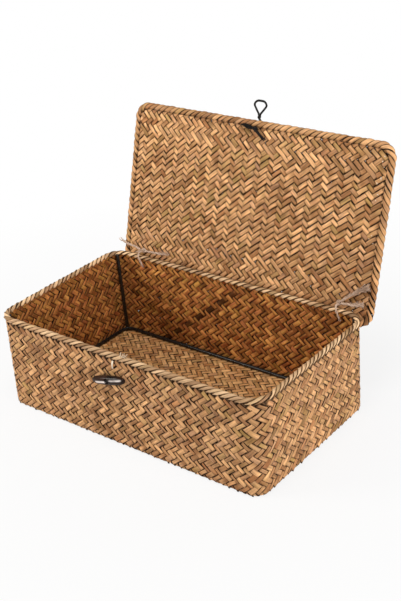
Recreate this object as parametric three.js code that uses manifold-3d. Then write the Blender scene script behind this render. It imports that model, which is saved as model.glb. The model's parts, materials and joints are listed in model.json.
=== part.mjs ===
// A plaited seagrass box with a flat lid, a black wire frame inside, twine hinges,
// and a horn toggle that takes an elastic loop. Millimetres, +Z up, front of the box at -Y.
// The origin is the centre of the base's underside. The lid stands open.
import * as THREE from 'three';
import { mergeVertices } from 'three/addons/utils/BufferGeometryUtils.js';
import Module from 'manifold-3d';

const wasm = await Module();
wasm.setup();

// Woven shell: sizes are taken on the middle of the wall's thickness.
const rimLength = 330;
const rimWidth = 185.6;
const rimCornerRadius = 20;
const lengthFlare = 5;
const widthFlare = -1.4;
const baseCornerRadius = 14;
const boxHeight = 106.5;
const wallThickness = 3.5;
const floorThickness = 3.5;
const baseEdgeRadius = 4;
const floorCove = 1;

// Plait: rows of floats up the wall. A row is a crest between two grooves, where its strands
// dive under those of the next. The inside of the wall stays plain, for what is stored in the box.
const plaitRow = 6.8;
const plaitGroove = 1;
const plaitTopGrooveDrop = 14;

// Clearance that touching pieces keep.
const seat = 0.3;

// Binding folded over the rim, and the wire ring that it holds.
const bindingThickness = 0.7;
const bindingDepth = 9;
const rimWireDiameter = 3.2;

// Wire frame inside the box.
const frameWireDiameter = 4;

// Lid: its border is a fold of the same weave round a wire ring.
const lidSideInset = 3.5;
const lidBackInset = 1.2;
const lidFrontInset = 3.6;
const lidCornerRadius = 13.5;
const lidPanelThickness = 3;
const lidBorderThickness = 7;
const lidBorderWidth = 9;
const lidBorderLip = 0.8;
const lidWireDiameter = 3;
const lidSeatGap = 0.8;

// Lid's plait: columns of floats, which widen from left to right, between two bands of level rows.
const lidColumnStart = -149.1;
const lidColumnWidth = 14.7;
const lidColumnGrowth = 0.0813;
const lidColumnCount = 18;
const lidHingeBand = 37.2;
const lidFrontBand = 26.9;
const lidRow = 13.7;
const lidGrooveWidth = 5;

// Twine hinges: each tie passes through the back wall and through the lid.
const hingeDrop = 12.8;
const hingeInset = 3;
const openLean = 16;
const twineDiameter = 2.2;
const twineHoleClearance = 0.4;
const tieReach = 17.5;
const tieStandOff = 5.5;
const tieSlant = 10;
const leftTieInset = 31;
const rightTieInset = 37.5;
const knotDiameter = 6;

// Elastic loop on the lid's front edge.
const loopX = 1.5;
const loopCordDiameter = 1.4;
const loopWidth = 15;
const loopHeight = 15;
const loopNeckLength = 3.2;
const loopNeckDiameter = 3.6;
const loopKnotInset = 5;
const loopKnotDiameter = 5;
const loopEndDiameter = 2.4;

// Horn toggle on the front wall.
const toggleLength = 45;
const toggleHeight = 10;
const toggleDepth = 8;
const toggleTilt = 14.8;
const toggleX = -7.8;
const toggleDrop = 27.8;
const toggleStandOff = 1;
const toggleEndShare = 0.78;
const toggleHoleDiameter = 3;
const toggleStringDiameter = 2;
const toggleKnotDiameter = 5;

// Facets.
const cornerSteps = 8;
const wireSides = 10;
const hiddenWireSides = 8;
const cordSides = 8;

const degrees = Math.PI / 180;
const box = new THREE.Group();

function finish(color, roughness, metalness = 0) {
  return new THREE.MeshStandardMaterial({ color, roughness, metalness });
}

function addMesh(parent, name, geometry, material) {
  const mesh = new THREE.Mesh(geometry, material);
  mesh.name = name;
  parent.add(mesh);
  return mesh;
}

// Outlines

// A point on a rounded rectangle, outset from it, at one step of one corner's arc.
function cornerPoint(halfX, halfY, radius, outset, corner, turn) {
  const angle = (corner + turn) * 90 * degrees;
  const sideX = corner === 0 || corner === 3 ? 1 : -1;
  const sideY = corner < 2 ? 1 : -1;
  const reach = radius + outset;
  return new THREE.Vector2(
    sideX * (halfX - radius) + reach * Math.cos(angle),
    sideY * (halfY - radius) + reach * Math.sin(angle),
  );
}

// The stations round a rounded rectangle, anticlockwise, as [corner, share of its arc].
const stations = [];
for (let corner = 0; corner < 4; corner += 1) {
  for (let step = 0; step <= cornerSteps; step += 1) {
    stations.push([corner, step / cornerSteps]);
  }
}

const baseLength = rimLength - lengthFlare;
const baseWidth = rimWidth - widthFlare;

// The middle of the wall at a height: the box flares from its base to its rim.
function wallPoint([corner, turn], outset, z) {
  const rise = z / boxHeight;
  const halfX = THREE.MathUtils.lerp(baseLength, rimLength, rise) / 2;
  const halfY = THREE.MathUtils.lerp(baseWidth, rimWidth, rise) / 2;
  const radius = THREE.MathUtils.lerp(baseCornerRadius, rimCornerRadius, rise);
  const flat = cornerPoint(halfX, halfY, radius, outset, corner, turn);
  return new THREE.Vector3(flat.x, flat.y, z);
}

function wallHalfWidth(z) {
  return THREE.MathUtils.lerp(baseWidth, rimWidth, z / boxHeight) / 2;
}

// Solids

function solidFrom(points, triangles) {
  const geometry = new THREE.BufferGeometry();
  geometry.setFromPoints(points);
  geometry.setIndex(triangles);
  geometry.computeVertexNormals();
  return geometry;
}

// Skins a stack of closed rings, from the first ring's flat face to the last one's.
function loft(rings) {
  const count = rings[0].length;
  const points = rings.flat();
  const triangles = [];
  for (let level = 0; level + 1 < rings.length; level += 1) {
    for (let i = 0; i < count; i += 1) {
      const next = (i + 1) % count;
      const low = level * count;
      const high = low + count;
      triangles.push(low + i, low + next, high + next);
      triangles.push(low + i, high + next, high + i);
    }
  }
  const capCentre = (ring) => ring.reduce((sum, p) => sum.add(p), new THREE.Vector3()).divideScalar(count);
  const first = points.push(capCentre(rings[0])) - 1;
  const last = points.push(capCentre(rings.at(-1))) - 1;
  const lastRing = (rings.length - 1) * count;
  for (let i = 0; i < count; i += 1) {
    const next = (i + 1) % count;
    triangles.push(first, next, i);
    triangles.push(last, lastRing + i, lastRing + next);
  }
  return solidFrom(points, triangles);
}

// Sweeps a closed profile of [outset, z] points, anticlockwise, right round the stations.
function sweepRound(profile, pointAt) {
  const points = [];
  for (const station of stations) {
    for (const [outset, z] of profile) {
      points.push(pointAt(station, outset, z));
    }
  }
  const triangles = [];
  const count = profile.length;
  for (let i = 0; i < stations.length; i += 1) {
    const here = i * count;
    const there = ((i + 1) % stations.length) * count;
    for (let j = 0; j < count; j += 1) {
      const next = (j + 1) % count;
      triangles.push(here + j, there + j, there + next);
      triangles.push(here + j, there + next, here + next);
    }
  }
  return solidFrom(points, triangles);
}

function circleProfile(outset, z, diameter, sides) {
  const profile = [];
  for (let i = 0; i < sides; i += 1) {
    const angle = (i / sides) * 360 * degrees;
    profile.push([outset + (diameter / 2) * Math.cos(angle), z + (diameter / 2) * Math.sin(angle)]);
  }
  return profile;
}

// A fold seen end on: a U of two arms whose bend is at the top, centred on x = 0.
// inner is the half width inside it, outer outside its bend, and lip the arms' thickness at their ends.
function foldProfile(inner, outer, lip, bendZ, armLength) {
  const bend = (radius, from, to) => {
    const arc = [];
    for (let i = 0; i <= cornerSteps; i += 1) {
      const angle = THREE.MathUtils.lerp(from, to, i / cornerSteps) * degrees;
      arc.push([radius * Math.cos(angle), bendZ + radius * Math.sin(angle)]);
    }
    return arc;
  };
  const ends = bendZ - armLength;
  return [
    [inner + lip, ends],
    ...bend(outer, 0, 180),
    [-inner - lip, ends],
    [-inner, ends],
    ...bend(inner, 180, 0),
    [inner, ends],
  ];
}

function tube(points, diameter, sides, stepLength) {
  const path = new THREE.CatmullRomCurve3(points, false, 'centripetal');
  const circle = new THREE.EllipseCurve(0, 0, diameter / 2, diameter / 2);
  const section = new THREE.Shape(circle.getPoints(sides));
  const steps = Math.ceil(path.getLength() / stepLength);
  return new THREE.ExtrudeGeometry(section, { steps, extrudePath: path, bevelEnabled: false });
}

// A round lump of twine: a turned ball, squeezed along its axis.
function knotGeometry(diameter, squeeze) {
  const radius = diameter / 2;
  const halfOval = new THREE.EllipseCurve(0, 0, radius, radius * squeeze, -90 * degrees, 90 * degrees);
  const outline = halfOval.getPoints(cornerSteps);
  outline[0].x = 0;
  outline.at(-1).x = 0;
  return new THREE.LatheGeometry(outline, wireSides);
}

function manifoldOf(geometry) {
  const bare = geometry.clone();
  bare.deleteAttribute('normal');
  bare.deleteAttribute('uv');
  const merged = mergeVertices(bare, 1e-4);
  const vertProperties = new Float32Array(merged.attributes.position.array);
  const triVerts = new Uint32Array(merged.index.array);
  return new wasm.Manifold(new wasm.Mesh({ numProp: 3, vertProperties, triVerts }));
}

function geometryOf(manifold) {
  const mesh = manifold.getMesh();
  const geometry = new THREE.BufferGeometry();
  geometry.setAttribute('position', new THREE.BufferAttribute(new Float32Array(mesh.vertProperties), 3));
  geometry.setIndex(new THREE.BufferAttribute(new Uint32Array(mesh.triVerts), 1));
  geometry.computeVertexNormals();
  return geometry;
}

function cut(geometry, tools) {
  let result = manifoldOf(geometry);
  for (const tool of tools) {
    result = result.subtract(manifoldOf(tool));
  }
  return geometryOf(result);
}

// A round drill between two points.
function drill(from, to, diameter) {
  const along = new THREE.Vector3().subVectors(to, from);
  const rod = new THREE.CylinderGeometry(diameter / 2, diameter / 2, along.length(), wireSides);
  const rodAxis = new THREE.Vector3(0, 1, 0);
  rod.applyQuaternion(new THREE.Quaternion().setFromUnitVectors(rodAxis, along.clone().normalize()));
  const middle = new THREE.Vector3().addVectors(from, to).divideScalar(2);
  rod.translate(middle.x, middle.y, middle.z);
  return rod;
}

// A bar along Y with a diamond section: half of it, sunk in a face, leaves a groove.
function grooveBar(width, depth, length) {
  const diamondSides = 4;
  const bar = new THREE.CylinderGeometry(1, 1, length, diamondSides);
  bar.scale(width / 2, 1, depth);
  return bar;
}

// Places that several pieces share

const halfWall = wallThickness / 2;
const bindingInner = halfWall + seat;
const bindingOuter = bindingInner + bindingThickness;
const bindingBendZ = boxHeight - bindingOuter;
const wallTop = bindingBendZ - rimWireDiameter / 2 - seat;
const frameOutset = -(halfWall + seat + frameWireDiameter / 2);
const frameFloorZ = floorThickness + seat + frameWireDiameter / 2;
const backRimY = rimWidth / 2;

const hingeY = backRimY - hingeInset;
const hingeZ = boxHeight - hingeDrop;
const twineRadius = twineDiameter / 2;
const twineClear = twineRadius + seat;
const leftTieX = leftTieInset - rimLength / 2;
const rightTieX = rimLength / 2 - rightTieInset;
const ties = [
  { side: 'left', knotX: leftTieX, wallX: leftTieX + tieSlant },
  { side: 'right', knotX: rightTieX, wallX: rightTieX + tieSlant },
];

const toggleZ = boxHeight - toggleDrop;
const toggleWallY = -wallHalfWidth(toggleZ);
const toggleY = toggleWallY - halfWall - toggleStandOff - toggleDepth / 2;

// Crests and grooves of the wall's rows as [outset, z], from the lowest crest up to the binding.
function plaitRows() {
  const rows = [];
  let z = boxHeight - plaitTopGrooveDrop;
  rows.push([halfWall, z + plaitRow / 2]);
  while (z > baseEdgeRadius + plaitRow / 2) {
    rows.push([halfWall - plaitGroove, z]);
    rows.push([halfWall, z - plaitRow / 2]);
    z -= plaitRow;
  }
  return rows.reverse();
}

// Woven shell: up the outside, over the top edge and down the inside to the floor.
function basketGeometry() {
  const profile = [];
  const edgeSteps = 3;
  for (let i = 0; i <= edgeSteps; i += 1) {
    const angle = (i / edgeSteps) * 90 * degrees;
    const outset = halfWall - baseEdgeRadius * (1 - Math.sin(angle));
    profile.push([outset, baseEdgeRadius * (1 - Math.cos(angle))]);
  }
  profile.push(...plaitRows());
  profile.push([halfWall, wallTop]);
  profile.push([-halfWall, wallTop]);
  profile.push([-halfWall, floorThickness + floorCove]);
  profile.push([-halfWall - floorCove, floorThickness]);
  const rings = profile.map(([outset, z]) => stations.map((station) => wallPoint(station, outset, z)));
  const through = wallThickness * 2;
  const tieHoles = ties.map(({ wallX }) => drill(
    new THREE.Vector3(wallX, wallHalfWidth(hingeZ) - through, hingeZ),
    new THREE.Vector3(wallX, wallHalfWidth(hingeZ) + through, hingeZ),
    twineDiameter + 2 * twineHoleClearance,
  ));
  const stringHole = drill(
    new THREE.Vector3(toggleX, toggleWallY - through, toggleZ),
    new THREE.Vector3(toggleX, toggleWallY + through, toggleZ),
    toggleStringDiameter + 2 * twineHoleClearance,
  );
  return cut(loft(rings), [...tieHoles, stringHole]);
}

const postNames = ['back_right', 'back_left', 'front_left', 'front_right'];
const postLowZ = frameFloorZ + frameWireDiameter / 2 + seat;
const postHighZ = bindingBendZ + rimWireDiameter / 2;

function postEnd(corner, z) {
  return wallPoint([corner, 0.5], frameOutset, z);
}

// Binding: folded over the wall's top edge and the rim wire, notched where the posts pass.
function bindingGeometry() {
  const armLength = bindingDepth - bindingOuter;
  const fold = foldProfile(bindingInner, bindingOuter, bindingThickness, bindingBendZ, armLength);
  const notches = postNames.map((name, corner) => drill(
    postEnd(corner, postLowZ),
    postEnd(corner, postHighZ + seat),
    frameWireDiameter + 2 * seat,
  ));
  return cut(sweepRound(fold, wallPoint), notches);
}

const straw = finish('#b08455', 0.75);
const bindingStraw = finish('#cfae80', 0.7);
const blackWire = finish('#15120f', 0.3, 0.4);
const twine = finish('#c2a289', 0.9);
const elastic = finish('#0e0d0d', 0.55);
const horn = finish('#2b211d', 0.22);

addMesh(box, 'woven_basket', basketGeometry(), straw.clone());
addMesh(box, 'rim_binding', bindingGeometry(), bindingStraw.clone());

const rimWire = circleProfile(0, bindingBendZ, rimWireDiameter, hiddenWireSides);
addMesh(box, 'top_wire_ring', sweepRound(rimWire, wallPoint), blackWire.clone());

const floorWire = circleProfile(frameOutset, frameFloorZ, frameWireDiameter, wireSides);
addMesh(box, 'bottom_wire_ring', sweepRound(floorWire, wallPoint), blackWire.clone());

postNames.forEach((name, corner) => {
  const post = drill(postEnd(corner, postLowZ), postEnd(corner, postHighZ), frameWireDiameter);
  addMesh(box, `wire_post_${name}`, post, blackWire.clone());
});

// Lid, drawn shut about the hinge axis and then swung open

const lid = new THREE.Group();
lid.position.set(0, hingeY, hingeZ);
lid.rotation.x = -(90 + openLean) * degrees;
box.add(lid);

const lidRoll = lidBorderThickness / 2;
const lidHalfX = rimLength / 2 - lidSideInset;
const lidBackY = backRimY - lidBackInset - hingeY;
const lidFrontY = -(backRimY - lidFrontInset) - hingeY;
const lidHalfY = (lidBackY - lidFrontY) / 2;
const lidCentreY = (lidBackY + lidFrontY) / 2;
const lidMiddleZ = boxHeight + lidSeatGap + lidRoll - hingeZ;
const halfPanel = lidPanelThickness / 2;
const lidChannel = halfPanel + seat;
const panelInset = lidWireDiameter / 2 + seat;

// A point of the lid: reach is from its back border's middle, depth below its middle plane.
function lidPoint(x, reach, depth) {
  return new THREE.Vector3(x, lidBackY - reach, lidMiddleZ - depth);
}

function lidEdgePoint([corner, turn], outset, z) {
  const flat = cornerPoint(lidHalfX, lidHalfY, lidCornerRadius, outset, corner, turn);
  return new THREE.Vector3(flat.x, lidCentreY + flat.y, lidMiddleZ + z);
}

const loopKnotReach = lidBackY - lidFrontY - loopKnotInset;
const loopHoleDiameter = loopCordDiameter + 2 * twineHoleClearance;

// Grooves of the lid's plait, on both of its faces.
function lidGrooves() {
  const bars = [];
  const lidDepth = lidBackY - lidFrontY;
  const frontBandReach = lidDepth - lidFrontBand;
  for (const depth of [halfPanel, -halfPanel]) {
    for (let column = 0; column <= lidColumnCount; column += 1) {
      const x = lidColumnStart + (lidColumnWidth + lidColumnGrowth * column) * column;
      const middle = lidPoint(x, (lidHingeBand + frontBandReach) / 2, depth);
      const bar = grooveBar(lidGrooveWidth, plaitGroove, frontBandReach - lidHingeBand);
      bars.push(bar.translate(middle.x, middle.y, middle.z));
    }
    for (const reach of [lidHingeBand - lidRow, lidHingeBand, frontBandReach, frontBandReach + lidRow]) {
      const middle = lidPoint(0, reach, depth);
      const bar = grooveBar(lidGrooveWidth, plaitGroove, (lidHalfX - lidBorderWidth) * 2);
      bar.rotateZ(90 * degrees);
      bars.push(bar.translate(middle.x, middle.y, middle.z));
    }
  }
  return bars;
}

function panelGeometry() {
  const outline = stations.map((station) => lidEdgePoint(station, -panelInset, 0));
  const shape = new THREE.Shape(outline.map((p) => new THREE.Vector2(p.x, p.y)));
  const pierce = (x, reach, diameter) => {
    const middle = lidPoint(x, reach, 0);
    const circle = new THREE.EllipseCurve(middle.x, middle.y, diameter / 2, diameter / 2);
    shape.holes.push(new THREE.Path(circle.getPoints(wireSides).slice(0, wireSides)));
  };
  for (const { knotX } of ties) {
    pierce(knotX, tieReach, twineDiameter + 2 * twineHoleClearance);
  }
  pierce(loopX, loopKnotReach, loopHoleDiameter);
  const plate = new THREE.ExtrudeGeometry(shape, { depth: lidPanelThickness, bevelEnabled: false });
  plate.translate(0, 0, lidMiddleZ - halfPanel);
  return cut(plate, lidGrooves());
}

// The border's fold lies on its side, with its arms towards the lid's middle.
function borderGeometry() {
  const fold = foldProfile(lidChannel, lidRoll, lidBorderLip, 0, lidBorderWidth);
  const onItsSide = fold.map(([across, up]) => [up, -across]);
  const cordHole = drill(
    lidPoint(loopX, loopKnotReach, lidBorderThickness),
    lidPoint(loopX, loopKnotReach, -lidBorderThickness),
    loopHoleDiameter,
  );
  return cut(sweepRound(onItsSide, lidEdgePoint), [cordHole]);
}

addMesh(lid, 'lid_panel', panelGeometry(), straw.clone());
addMesh(lid, 'lid_border', borderGeometry(), straw.clone());
const lidWire = circleProfile(0, 0, lidWireDiameter, hiddenWireSides);
addMesh(lid, 'lid_wire_ring', sweepRound(lidWire, lidEdgePoint), blackWire.clone());

// Twine hinges

lid.updateMatrixWorld(true);

function lidPointInBox(x, reach, depth) {
  return lid.localToWorld(lidPoint(x, reach, depth));
}

const knotRadius = knotDiameter / 2;
const knotDepth = halfPanel + tieStandOff;
const knotSqueeze = 0.9;

// One tie: from its knot over the rim, down inside it, out through the wall, round under the
// lid's border, up behind the lid and through it to the knot again.
function tieGeometry({ knotX, wallX }) {
  const wallY = wallHalfWidth(hingeZ);
  const overRim = (angle, share) => slanted(
    share,
    backRimY + (bindingOuter + twineClear) * Math.cos(angle * degrees),
    bindingBendZ + (bindingOuter + twineClear) * Math.sin(angle * degrees),
  );
  const knot = lidPointInBox(knotX, tieReach, knotDepth);
  const underRoll = (angle, share) => {
    const reach = (lidRoll + twineClear) * Math.cos(angle * degrees);
    const depth = (lidRoll + twineClear) * Math.sin(angle * degrees);
    return lidPointInBox(THREE.MathUtils.lerp(wallX, knotX, share), reach, depth);
  };
  const slanted = (share, y, z) => new THREE.Vector3(THREE.MathUtils.lerp(knotX, wallX, share), y, z);
  const bend = 1.5 * twineDiameter;
  return tube([
    slanted(0, knot.y - knotRadius - seat, knot.z),
    overRim(60, 0.25),
    overRim(90, 0.4),
    overRim(120, 0.5),
    overRim(150, 0.6),
    overRim(180, 0.7),
    slanted(1, backRimY - bindingOuter - twineClear, hingeZ + bend),
    slanted(1, wallY - halfWall - twineRadius, hingeZ),
    slanted(1, wallY + halfWall + twineRadius, hingeZ),
    underRoll(120, 0.1),
    underRoll(150, 0.2),
    underRoll(180, 0.3),
    underRoll(210, 0.4),
    underRoll(240, 0.5),
    underRoll(270, 0.6),
    lidPointInBox(knotX, lidBorderWidth, -(lidRoll + twineRadius)),
    lidPointInBox(knotX, tieReach - twineRadius / 2, -(halfPanel + twineClear)),
    lidPointInBox(knotX, tieReach, 0),
    lidPointInBox(knotX, tieReach, knotDepth - knotRadius * knotSqueeze - seat),
  ], twineDiameter, cordSides, twineDiameter);
}

const tailDepth = lidRoll + twineClear;

// Loose ends of the twine, as [x, reach, depth] from the knot's middle outwards.
const tails = {
  left: {
    outer: [[-3.4, 0.3, 2], [-12, 2.2, 1.2], [-25, 3.5, 0.4], [-37, 7, 0.8]],
    inner: [[3.4, 0.2, 2], [12, 0.4, 1], [24, 0.8, -0.4], [36, 2.8, -0.8]],
  },
  right: {
    outer: [[2.7, 2.1, 2], [10.5, 9.2, 1], [21, 17.5, 0], [31.5, 23, 0.2]],
    inner: [[3.4, 0.2, 2], [11, 1.4, 4.6], [20, 2.6, 4.2], [28, 3.6, 0.4]],
  },
};

ties.forEach((tie) => {
  addMesh(box, `hinge_tie_${tie.side}`, tieGeometry(tie), twine.clone());
  const lump = knotGeometry(knotDiameter, knotSqueeze);
  const knot = addMesh(lid, `hinge_knot_${tie.side}`, lump, twine.clone());
  knot.position.copy(lidPoint(tie.knotX, tieReach, knotDepth));
  knot.rotation.x = 90 * degrees;
  for (const [end, route] of Object.entries(tails[tie.side])) {
    const points = route.map(([x, reach, depth]) => (
      lidPoint(tie.knotX + x, tieReach + reach, tailDepth + depth)
    ));
    const name = `hinge_tail_${tie.side}_${end}`;
    addMesh(lid, name, tube(points, twineDiameter, cordSides, 2 * twineDiameter), twine.clone());
  }
});

// Elastic loop: it flips about the round foot of its neck, just off the lid's front edge.

const cordRadius = loopCordDiameter / 2;
const neckRadius = loopNeckDiameter / 2;
const lidFrontReach = lidBackY - lidFrontY;
const loopPivotReach = lidFrontReach + lidRoll + seat + neckRadius;

function neckGeometry() {
  const tip = loopCordDiameter + seat;
  const foot = new THREE.EllipseCurve(0, 0, neckRadius, neckRadius, -Math.PI / 2, 0).getPoints(cornerSteps);
  foot[0].x = 0;
  const outline = [
    ...foot,
    new THREE.Vector2(tip, loopNeckLength),
    new THREE.Vector2(0, loopNeckLength),
  ];
  return new THREE.LatheGeometry(outline, wireSides);
}

function loopGeometry() {
  const foot = loopNeckLength + seat;
  const halfLoop = loopWidth / 2;
  const apart = cordRadius + seat / 2;
  const half = [
    [apart, foot],
    [apart + loopCordDiameter / 4, foot + loopCordDiameter],
    [halfLoop * 0.62, foot + loopHeight * 0.4],
    [halfLoop, foot + loopHeight * 0.72],
    [halfLoop * 0.66, foot + loopHeight * 0.95],
  ];
  const left = half.map(([x, up]) => new THREE.Vector3(-x, up, 0));
  const right = half.map(([x, up]) => new THREE.Vector3(x, up, 0)).reverse();
  const top = new THREE.Vector3(0, foot + loopHeight, 0);
  return tube([...left, top, ...right], loopCordDiameter, cordSides, loopCordDiameter);
}

const loop = new THREE.Group();
loop.position.copy(lidPoint(loopX, loopPivotReach, 0));
loop.rotation.z = 180 * degrees;
lid.add(loop);
addMesh(loop, 'closure_loop_neck', neckGeometry(), elastic.clone());
addMesh(loop, 'closure_loop', loopGeometry(), elastic.clone());

// The cord's stem goes over the border's outer side and through the lid to a knot on its inner face.
const loopKnotRadius = loopKnotDiameter / 2;
const loopKnotSqueeze = 0.8;
const loopKnotDepth = lidRoll + seat + loopKnotRadius * loopKnotSqueeze;

function stemGeometry() {
  const overRoll = (angle) => lidPoint(
    loopX,
    lidFrontReach + (lidRoll + cordRadius + seat) * Math.cos(angle * degrees),
    -(lidRoll + cordRadius + seat) * Math.sin(angle * degrees),
  );
  const outerFace = -(lidRoll + cordRadius + seat);
  return tube([
    overRoll(50),
    overRoll(75),
    lidPoint(loopX, lidFrontReach - lidRoll, outerFace),
    lidPoint(loopX, loopKnotReach + cordRadius / 2, outerFace + cordRadius),
    lidPoint(loopX, loopKnotReach, -halfPanel),
    lidPoint(loopX, loopKnotReach, lidRoll - seat),
  ], loopCordDiameter, cordSides, loopCordDiameter);
}

addMesh(lid, 'closure_stem', stemGeometry(), elastic.clone());
const loopLump = knotGeometry(loopKnotDiameter, loopKnotSqueeze);
const loopKnot = addMesh(lid, 'closure_knot', loopLump, elastic.clone());
loopKnot.position.copy(lidPoint(loopX, loopKnotReach, loopKnotDepth));
loopKnot.rotation.x = 90 * degrees;

// The knot's two cut ends, as [x, reach, depth] from its middle outwards.
const loopEnds = {
  long: [[2, -1.9, 0.4], [6.5, -6, -0.6], [12.5, -10.5, -0.9]],
  frayed: [[-2.8, 0.3, 0.4], [-10, 1.4, 0], [-20, 2.6, 0]],
};
for (const [end, route] of Object.entries(loopEnds)) {
  const depth = lidRoll + seat + loopEndDiameter / 2;
  const points = route.map(([x, reach, lift]) => lidPoint(loopX + x, loopKnotReach + reach, depth + lift));
  const cutEnd = tube(points, loopEndDiameter, cordSides, 2 * loopEndDiameter);
  addMesh(lid, `closure_end_${end}`, cutEnd, elastic.clone());
}

// Horn toggle: a turned bar, flattened towards the wall, with a countersunk hole for its string.

const toggleSinkDepth = 2.5;

function toggleGeometry() {
  const halfLength = toggleLength / 2;
  const halfHeight = toggleHeight / 2;
  const outline = [new THREE.Vector2(0, -halfLength)];
  const rows = 12;
  for (let i = 1; i < rows; i += 1) {
    const along = -1 + (2 * i) / rows;
    const roundEnd = Math.sqrt(1 - along ** 6);
    const belly = THREE.MathUtils.lerp(toggleEndShare, 1, Math.cos(along * 90 * degrees));
    outline.push(new THREE.Vector2(halfHeight * roundEnd * belly, halfLength * along));
  }
  outline.push(new THREE.Vector2(0, halfLength));
  const bar = new THREE.LatheGeometry(outline, 2 * wireSides);
  bar.rotateZ(-90 * degrees);
  bar.scale(1, toggleDepth / toggleHeight, 1);
  bar.rotateY(-toggleTilt * degrees);
  const front = new THREE.Vector3(0, -toggleDepth, 0);
  const back = new THREE.Vector3(0, toggleDepth, 0);
  const sinkFloor = new THREE.Vector3(0, -toggleDepth / 2 + toggleSinkDepth, 0);
  return cut(bar, [
    drill(front, back, toggleHoleDiameter),
    drill(front, sinkFloor, toggleKnotDiameter + 2 * seat),
  ]);
}

const toggle = addMesh(box, 'toggle', toggleGeometry(), horn.clone());
toggle.position.set(toggleX, toggleY, toggleZ);

// The string: a head in the toggle's sink, a shank through toggle and wall, and a knot inside.
const stringHeadDepth = 2;
const headBack = -toggleDepth / 2 + toggleSinkDepth - seat;
const insideKnotSqueeze = 0.8;
const insideKnotY = toggleWallY + halfWall + seat + (toggleKnotDiameter / 2) * insideKnotSqueeze;
const stringEnd = insideKnotY - (toggleKnotDiameter / 2) * insideKnotSqueeze - seat / 2 - toggleY;

function stringGeometry() {
  const radius = toggleStringDiameter / 2;
  const head = toggleKnotDiameter / 2;
  const outline = [
    new THREE.Vector2(0, headBack - stringHeadDepth),
    new THREE.Vector2(head * 0.7, headBack - stringHeadDepth * 0.8),
    new THREE.Vector2(head, headBack - stringHeadDepth / 2),
    new THREE.Vector2(head, headBack),
    new THREE.Vector2(radius, headBack),
    new THREE.Vector2(radius, stringEnd),
    new THREE.Vector2(0, stringEnd),
  ];
  return new THREE.LatheGeometry(outline, wireSides);
}

const toggleString = addMesh(box, 'toggle_string', stringGeometry(), elastic.clone());
toggleString.position.copy(toggle.position);

const insideLump = knotGeometry(toggleKnotDiameter, insideKnotSqueeze);
const insideKnot = addMesh(box, 'toggle_string_knot', insideLump, elastic.clone());
insideKnot.position.set(toggleX, insideKnotY, toggleZ);

export default box;
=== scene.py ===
import json
import math

import bpy
import numpy as np
from mathutils import Matrix, Vector


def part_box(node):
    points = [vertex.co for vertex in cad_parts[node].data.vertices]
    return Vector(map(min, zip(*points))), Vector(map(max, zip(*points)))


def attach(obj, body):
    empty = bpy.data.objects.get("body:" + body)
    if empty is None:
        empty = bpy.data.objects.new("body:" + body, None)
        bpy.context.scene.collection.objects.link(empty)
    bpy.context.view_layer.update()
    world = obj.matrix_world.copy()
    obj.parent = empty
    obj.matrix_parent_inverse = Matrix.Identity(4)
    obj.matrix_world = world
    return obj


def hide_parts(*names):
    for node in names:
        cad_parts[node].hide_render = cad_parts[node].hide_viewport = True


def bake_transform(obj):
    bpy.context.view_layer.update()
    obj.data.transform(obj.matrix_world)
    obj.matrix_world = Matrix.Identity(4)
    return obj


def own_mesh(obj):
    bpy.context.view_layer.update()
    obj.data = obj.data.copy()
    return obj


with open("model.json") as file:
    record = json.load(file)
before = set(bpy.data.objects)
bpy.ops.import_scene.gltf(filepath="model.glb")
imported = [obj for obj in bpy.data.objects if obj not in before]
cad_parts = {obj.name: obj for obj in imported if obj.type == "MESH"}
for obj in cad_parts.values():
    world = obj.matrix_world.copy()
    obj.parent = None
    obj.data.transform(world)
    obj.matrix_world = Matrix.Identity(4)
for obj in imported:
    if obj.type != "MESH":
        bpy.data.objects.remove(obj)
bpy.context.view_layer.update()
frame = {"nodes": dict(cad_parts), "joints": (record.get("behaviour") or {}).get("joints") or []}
mm = 0.001
dice = np.random.default_rng(7)
print("frame loaded")


# camera, lamps and pale floor

view = {
    "azimuth": 39.81, "elevation": 27.14, "roll": -4.65,
    "distance": 1098.43 * mm, "target": (19.36 * mm, 16.13 * mm, 120.33 * mm),
    "lens": 65.18, "sensor": 36, "nearest": 0.01,
    "floorSize": 8.0, "floorTint": (0.88, 0.88, 0.88, 1), "floorLook": {"roughness": 0.9, "gloss": 0.0},
    "floorClear": (0.2, 0.6, 0.85, 1.0),
    "skyTint": (1.0, 0.985, 0.97, 1), "skyStrength": 0.36,
}
lamps = {
    "sideLamp": {"place": (1.5, -0.12, 0.25), "size": 0.5, "power": 10.8, "tint": (1.0, 1.0, 1.0)},
    "frontLamp": {"place": (-0.95, -0.9, 0.6), "size": 0.55, "power": 9.0, "tint": (1.0, 0.96, 0.90)},
    "topLamp": {"place": (0.2, -0.35, 1.7), "size": 0.5, "power": 9.0, "tint": (1.0, 1.0, 1.0)},
}


def placeCamera():
    a, e, r = (math.radians(view[k]) for k in ("azimuth", "elevation", "roll"))
    back = Vector((math.sin(a) * math.cos(e), -math.cos(a) * math.cos(e), math.sin(e)))
    right = Vector((math.cos(a), math.sin(a), 0))
    up = back.cross(right)
    across = right * math.cos(r) + up * math.sin(r)
    top = up * math.cos(r) - right * math.sin(r)
    bpy.ops.object.camera_add(location=Vector(view["target"]) + back * view["distance"])
    camera = bpy.context.object
    camera.data.lens = view["lens"]
    camera.data.sensor_width = view["sensor"]
    camera.data.clip_start = view["nearest"]
    camera.rotation_euler = Matrix((across, top, back)).transposed().to_euler()
    bpy.context.scene.camera = camera


def seenStraight(tree):
    # 1 for rays that come straight from the camera
    return tree.nodes.new("ShaderNodeLightPath").outputs["Is Camera Ray"]


def feed(tree, node, sockets):
    # each socket takes a value or another node's output
    for socket, value in sockets:
        if hasattr(value, "links"):
            tree.links.new(value, node.inputs[socket])
        else:
            node.inputs[socket].default_value = value


def addNode(tree, kind, **sockets):
    node = tree.nodes.new(kind)
    feed(tree, node, sockets.items())
    return node


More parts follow.
